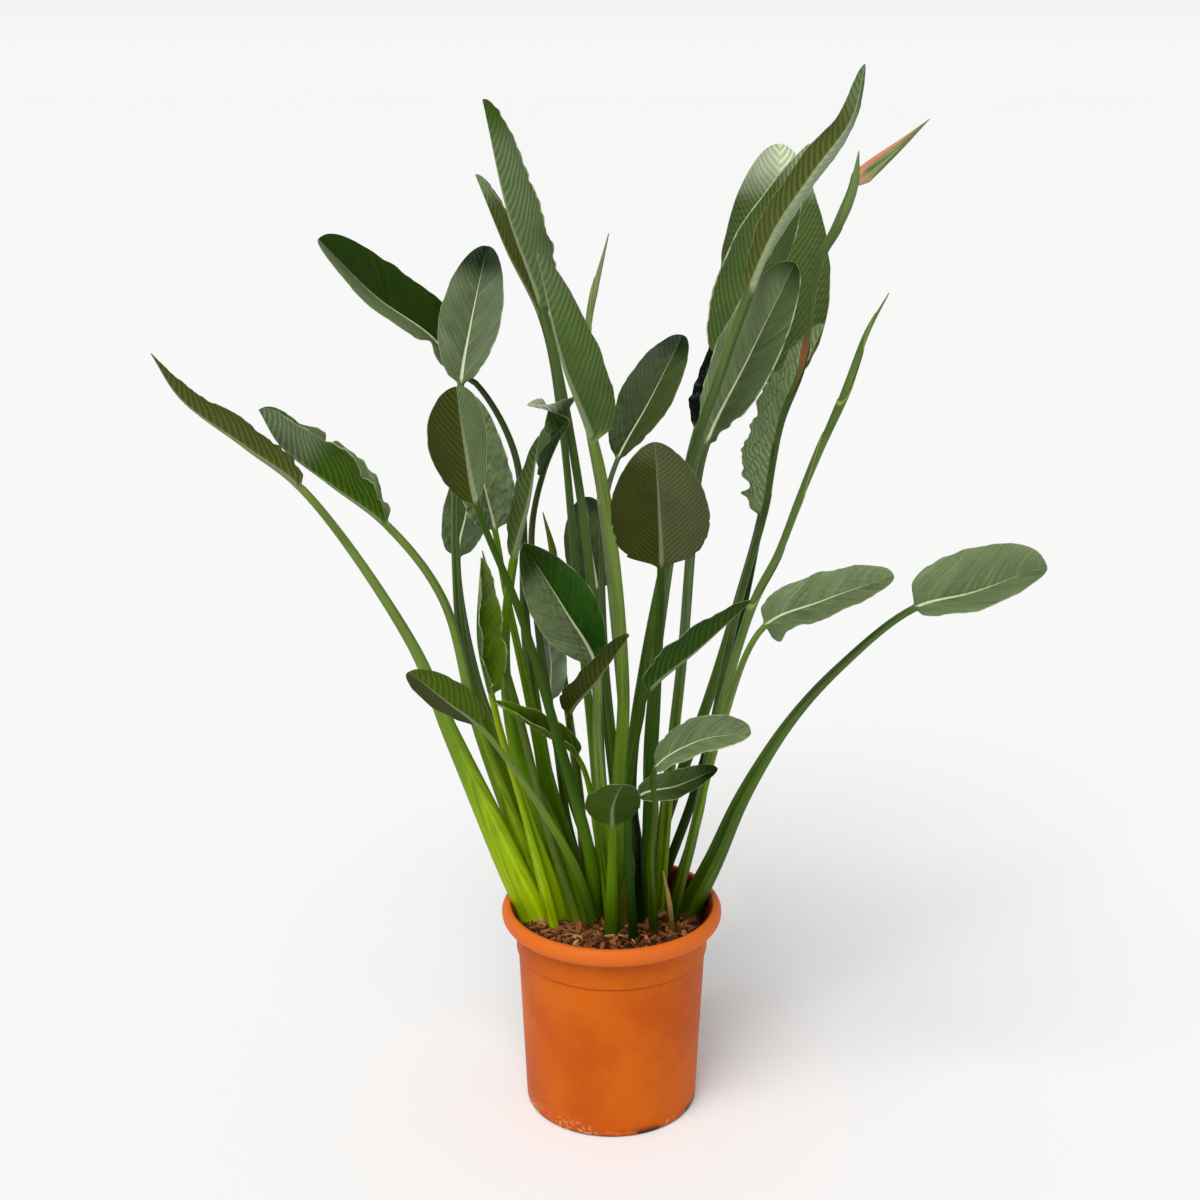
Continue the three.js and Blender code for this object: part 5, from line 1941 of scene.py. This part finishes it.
        stalk=((86, 125, 390), (137, 158, 528), (178, 180, 668), (213, 205, 808)),
        blade=((220, 228, 967), (223, 240, 1134), (227, 280, 1286)),
        width=154, face=(0, 0.85, 0.4), fold=(14, 14), wave=1, full=0.5, blunt=0.5,
    ), Wear(
        upper=Green.IVY, under=Green.MOSS, stalk=Green.SAGE, foot=Green.OLIVE, tip=Green.PALE,
        tip_from=0.84, sides=(1.15, 1.0), edge=0.2, pleat=0.85,
    )),
    (LeafShape(
        "leaf_right_6", root=(82, -16), sheath=(16, 16), neck=8,
        stalk=((105, -35, 400), (140, -60, 570)),
        blade=((189, -90, 717), (258, -105, 755), (343, -120, 792)),
        width=72, face=(-0.3, -0.4, 0.85), fold=(35, 12), wave=1.5, full=0.45, blunt=0.42, low=0.75,
    ), Wear(
        upper=Green.MIST, under=Green.SAGE, stalk=Green.PEA, foot=Green.OLIVE, sides=(1.0, 0.85), edge=0.4,
        crinkle=2.0, crumple=0.4, ragged=0.08, dents=((0.1, 1, -0.7, 0.07),),
    )),
    (LeafShape(
        "leaf_right_7", root=(66, 82), sheath=(18, 18), neck=10,
        stalk=((115, 88, 418), (179, 120, 674)),
        blade=((203, 140, 798), (228, 152, 929), (283, 168, 1058)),
        width=90, face=(-0.8, 0.4, 0.4), fold=(42, 50), wave=3, blunt=0.5,
    ), Wear(
        upper=Green.MOSS, under=Green.MIST, stalk=Green.PINE, foot=Green.OLIVE, edge=0.3, crinkle=6.0,
        crumple=1.5, ragged=0.12,
    )),
    (LeafShape(
        "leaf_right_8", root=(101, 6), sheath=(34, 20), neck=9.5,
        stalk=((138, -8, 362), (174, -22, 460), (230, -38, 569), (289, -55, 650)),
        blade=((377, -80, 738), (451, -85, 761), (535, -95, 799)),
        width=108, face=(-0.25, -0.5, 0.85), fold=(45, 30), wave=1, full=0.45, blunt=0.38, low=0.85,
    ), Wear(
        upper=Green.MIST, under=Green.SAGE, stalk=Green.FERN, foot=Green.LEAF, edge=0.4, crinkle=1.5,
        spread=1.35,
    )),
    (LeafShape(
        "leaf_right_9", root=(28, -62), sheath=(14, 14), neck=7,
        stalk=((20, -95, 495), (35, -130, 610)),
        blade=((43, -155, 655), (105, -170, 717), (165, -185, 780)),
        width=58, face=(-0.5, 0.35, 0.75), fold=(55, 60), wave=1.5,
    ), Wear(
        upper=Green.IVY, under=Green.HOLLY, stalk=Green.IVY, foot=Green.PINE, edge=0.5, crinkle=2.5,
        ragged=0.12,
    )),
)

STEMS: tuple[tuple[StemShape, str], ...] = (
    (StemShape(
        "flower_stalk_1", root=(86, 54), flat=1,
        points=(
            (120, 50, 400), (135, 55, 510), (170, 60, 705), (200, 70, 820), (220, 80, 940), (245, 85, 1015),
            (265, 95, 1150), (285, 95, 1190), (305, 100, 1240), (310, 100, 1285),
        ),
        girth=((0, 13), (0.4, 10), (0.6, 8.5), (0.8, 9), (0.93, 14), (0.97, 10), (1, 1.2)),
        bracts=(
            Bract(0.52, 120, 200, rim=0.0), Bract(0.64, 130, 20, rim=0.0),
            Bract(0.86, 120, 150, stand=0.9, rim=0.0),
        ),
        blushes=((0.745, 0.022, 0.8),),
    ), "flower"),
    (StemShape(
        "flower_stalk_2", root=(88, 30), flat=1,
        points=(
            (110, 28, 370), (135, 20, 520), (185, 20, 715), (215, 20, 780), (240, 15, 855), (265, 10, 925),
            (290, 5, 990), (315, 0, 1070), (340, 0, 1120),
        ),
        girth=((0, 14), (0.4, 12), (0.7, 9), (0.86, 11), (0.94, 6), (1, 1.2)),
        bracts=(
            Bract(0.44, 150, 30), Bract(0.62, 150, 200), Bract(0.78, 120, 20),
            Bract(0.88, 80, 200, stand=0.8),
        ),
    ), "shoot"),
    (StemShape(
        "flower_stalk_3", root=(36, 102), flat=1,
        points=(
            (25, 105, 405), (5, 100, 640), (-15, 95, 835), (-35, 80, 970), (-30, 80, 1075), (-5, 80, 1185),
        ),
        girth=((0, 12), (0.5, 9), (0.85, 8), (0.92, 9), (1, 1.2)),
        bracts=(Bract(0.55, 150, 20), Bract(0.82, 110, 200, stand=1.0)),
    ), "pale"),
    (StemShape(
        "young_leaf_1", root=(-36, 86), flat=1.2,
        points=((-45, 120, 395), (-70, 160, 590), (-80, 180, 730), (-95, 185, 795)),
        girth=((0, 13), (0.7, 8), (0.9, 9), (1, 1.2)), roll=0.35,
    ), "rolled"),
    (StemShape(
        "young_leaf_2", root=(-46, -24), flat=1.2,
        points=((-90, -30, 430), (-120, -34, 570), (-145, -34, 670), (-155, -34, 750), (-165, -34, 800)),
        girth=((0, 12), (0.6, 9), (0.85, 10), (1, 1.2)), roll=0.35,
    ), "rolled"),
    (StemShape(
        "sheath_stub", root=(15, -32), flat=1.8,
        points=((18, -36, 325), (25, -38, 370)),
        girth=((0, 7), (0.5, 8), (1, 1.2)), roll=0.3,
    ), "stub"),
    (StemShape(
        "dry_sheath", root=(82, -42), flat=1.8,
        points=((76, -46, 320), (68, -44, 360)),
        girth=((0, 4), (0.5, 4), (1, 1.2)), roll=0.3, slot="dry_sheath",
    ), "dry"),
)


# ------------------------------------------------------------------ studio


@dataclass(frozen=True)
class Studio:
    """Pale floor, soft lights and the camera at the photograph's angle."""

    eye: Point = (-0.016, -2.2, 1.395)
    pitch: float = 16.95       # degrees below level
    focal: float = 1773.0      # in pixels of a picture 1200 wide
    picture: float = 1200.0
    sensor: float = 36.0
    floor_radius: float = 80.0
    floor_tint: Colour = (0.86, 0.86, 0.855)
    sky: Colour = (1.0, 1.0, 1.0)
    sky_strength: float = 0.48
    sky_rise: float = 0.16     # sine of the height above which the sky has its own strength
    horizon: float = 0.93      # strength at the horizon, so that it meets the floor
    key_from: Point = (-0.26, -0.6, 1.0)
    key_strength: float = 2.35
    key_spread: float = 36.0   # width of the key light in the sky, in degrees

    def set_camera(self) -> None:
        """Makes the camera."""
        data = bpy.data.cameras.new("camera")
        data.sensor_width = self.sensor
        data.lens = self.focal * self.sensor / self.picture
        data.clip_end = 200.0
        camera = placed("camera", data)
        camera.location = self.eye
        camera.rotation_euler = (math.radians(90.0 - self.pitch), 0.0, 0.0)
        bpy.context.scene.camera = camera

    def lay_floor(self) -> None:
        """Makes the pale floor."""
        builder = bmesh.new()
        bmesh.ops.create_circle(builder, cap_ends=True, segments=96, radius=self.floor_radius)
        floor = built("studio_floor", builder)
        p = Painter("studio_floor_paint")
        p.surface(base_color=self.floor_tint, roughness=0.9)
        floor.data.materials.append(p.material)

    def hang_light(self, name: str, source: Point, strength: float, spread: float) -> None:
        """Hangs one broad soft light, so far off that it lights the whole floor evenly.

        Args:
            name: Name of the light.
            source: Direction that it comes from.
            strength: Watts per square metre.
            spread: How wide it stands in the sky, in degrees.
        """
        data = bpy.data.lights.new(name, "SUN")
        data.energy = strength
        data.angle = math.radians(spread)
        lamp = placed(name, data)
        lamp.location = 4.0 * Vector(source)
        lamp.rotation_euler = (-Vector(source)).to_track_quat("-Z", "Y").to_euler()

    def light(self) -> None:
        """Lights the room."""
        world = bpy.data.worlds.new("studio_sky")
        world.use_nodes = True
        nodes, links = world.node_tree.nodes, world.node_tree.links
        kinds = ("TexCoord", "SeparateXYZ", "MapRange")
        where, parts, rise = (nodes.new(f"ShaderNode{kind}") for kind in kinds)
        links.new(where.outputs["Generated"], parts.inputs["Vector"])
        links.new(parts.outputs["Z"], rise.inputs["Value"])
        rise.interpolation_type = "SMOOTHSTEP"
        rise.inputs["From Max"].default_value = self.sky_rise
        rise.inputs["To Min"].default_value = self.horizon
        rise.inputs["To Max"].default_value = self.sky_strength
        background = nodes["Background"]
        background.inputs["Color"].default_value = (*self.sky, 1.0)
        links.new(rise.outputs["Result"], background.inputs["Strength"])
        bpy.context.scene.world = world
        self.hang_light("key_light", self.key_from, self.key_strength, self.key_spread)

    def build(self) -> None:
        """Sets up camera, floor and lights."""
        self.set_camera()
        self.lay_floor()
        self.light()
        bpy.context.scene.view_settings.view_transform = "Standard"


# ------------------------------------------------------------------ the plant


def stem_finishes() -> dict[str, Material]:
    """Makes the finishes of the stems.

    Returns:
        Materials by the name of the finish.
    """
    wanted = {
        "flower": StemFinish("flower_stalk_skin", body=(56, 78, 24), body_light=(88, 108, 46),
                             dark=(36, 52, 14), rim=(150, 84, 48), foot=(84, 84, 30), top=(110, 132, 72)),
        "shoot": StemFinish("flower_shoot_skin", body=(80, 108, 40), body_light=(120, 142, 72),
                            dark=(56, 80, 28), rim=(166, 178, 84), foot=(86, 96, 30)),
        "pale": StemFinish("pale_shoot_skin", body=(118, 140, 78), body_light=(156, 172, 116),
                           dark=(84, 108, 50), rim=(176, 184, 104), foot=(96, 104, 40)),
        "rolled": StemFinish("rolled_leaf_skin", body=(74, 98, 12), body_light=(106, 126, 36),
                             dark=(50, 72, 8), rim=(150, 150, 60), foot=(120, 130, 30)),
        "stub": StemFinish("sheath_stub_skin", body=(70, 70, 10), body_light=(104, 100, 28),
                           dark=(50, 46, 8), rim=(130, 96, 40), foot=(120, 116, 36)),
        "dry": StemFinish("dry_sheath_skin", body=(150, 128, 60), body_light=(188, 162, 96),
                          dark=(104, 82, 36), rim=(170, 140, 80), foot=(98, 78, 34), roughness=0.7),
    }
    return {key: finish.build() for key, finish in wanted.items()}


def build_plant() -> None:
    """Builds every piece of the plant and its pot, in order."""
    leaf_skin = LeafFinish().build()
    for number, (shape, wear) in enumerate(LEAVES):
        Leaf(shape, wear, 100 + 10 * number).build(leaf_skin)
    stems = stem_finishes()
    for shape, finish in STEMS:
        Stem(shape).build(stems[finish])
    FlowerBeak().build(BudFinish().build())
    Soil().build(SoilFinish().build())
    Pot().build(PotFinish().build())


def main() -> None:
    """Builds the object and its studio."""
    logging.basicConfig(level=logging.INFO, format="%(name)s: %(message)s")
    build_plant()
    Studio().build()


if __name__ == "__main__":
    main()
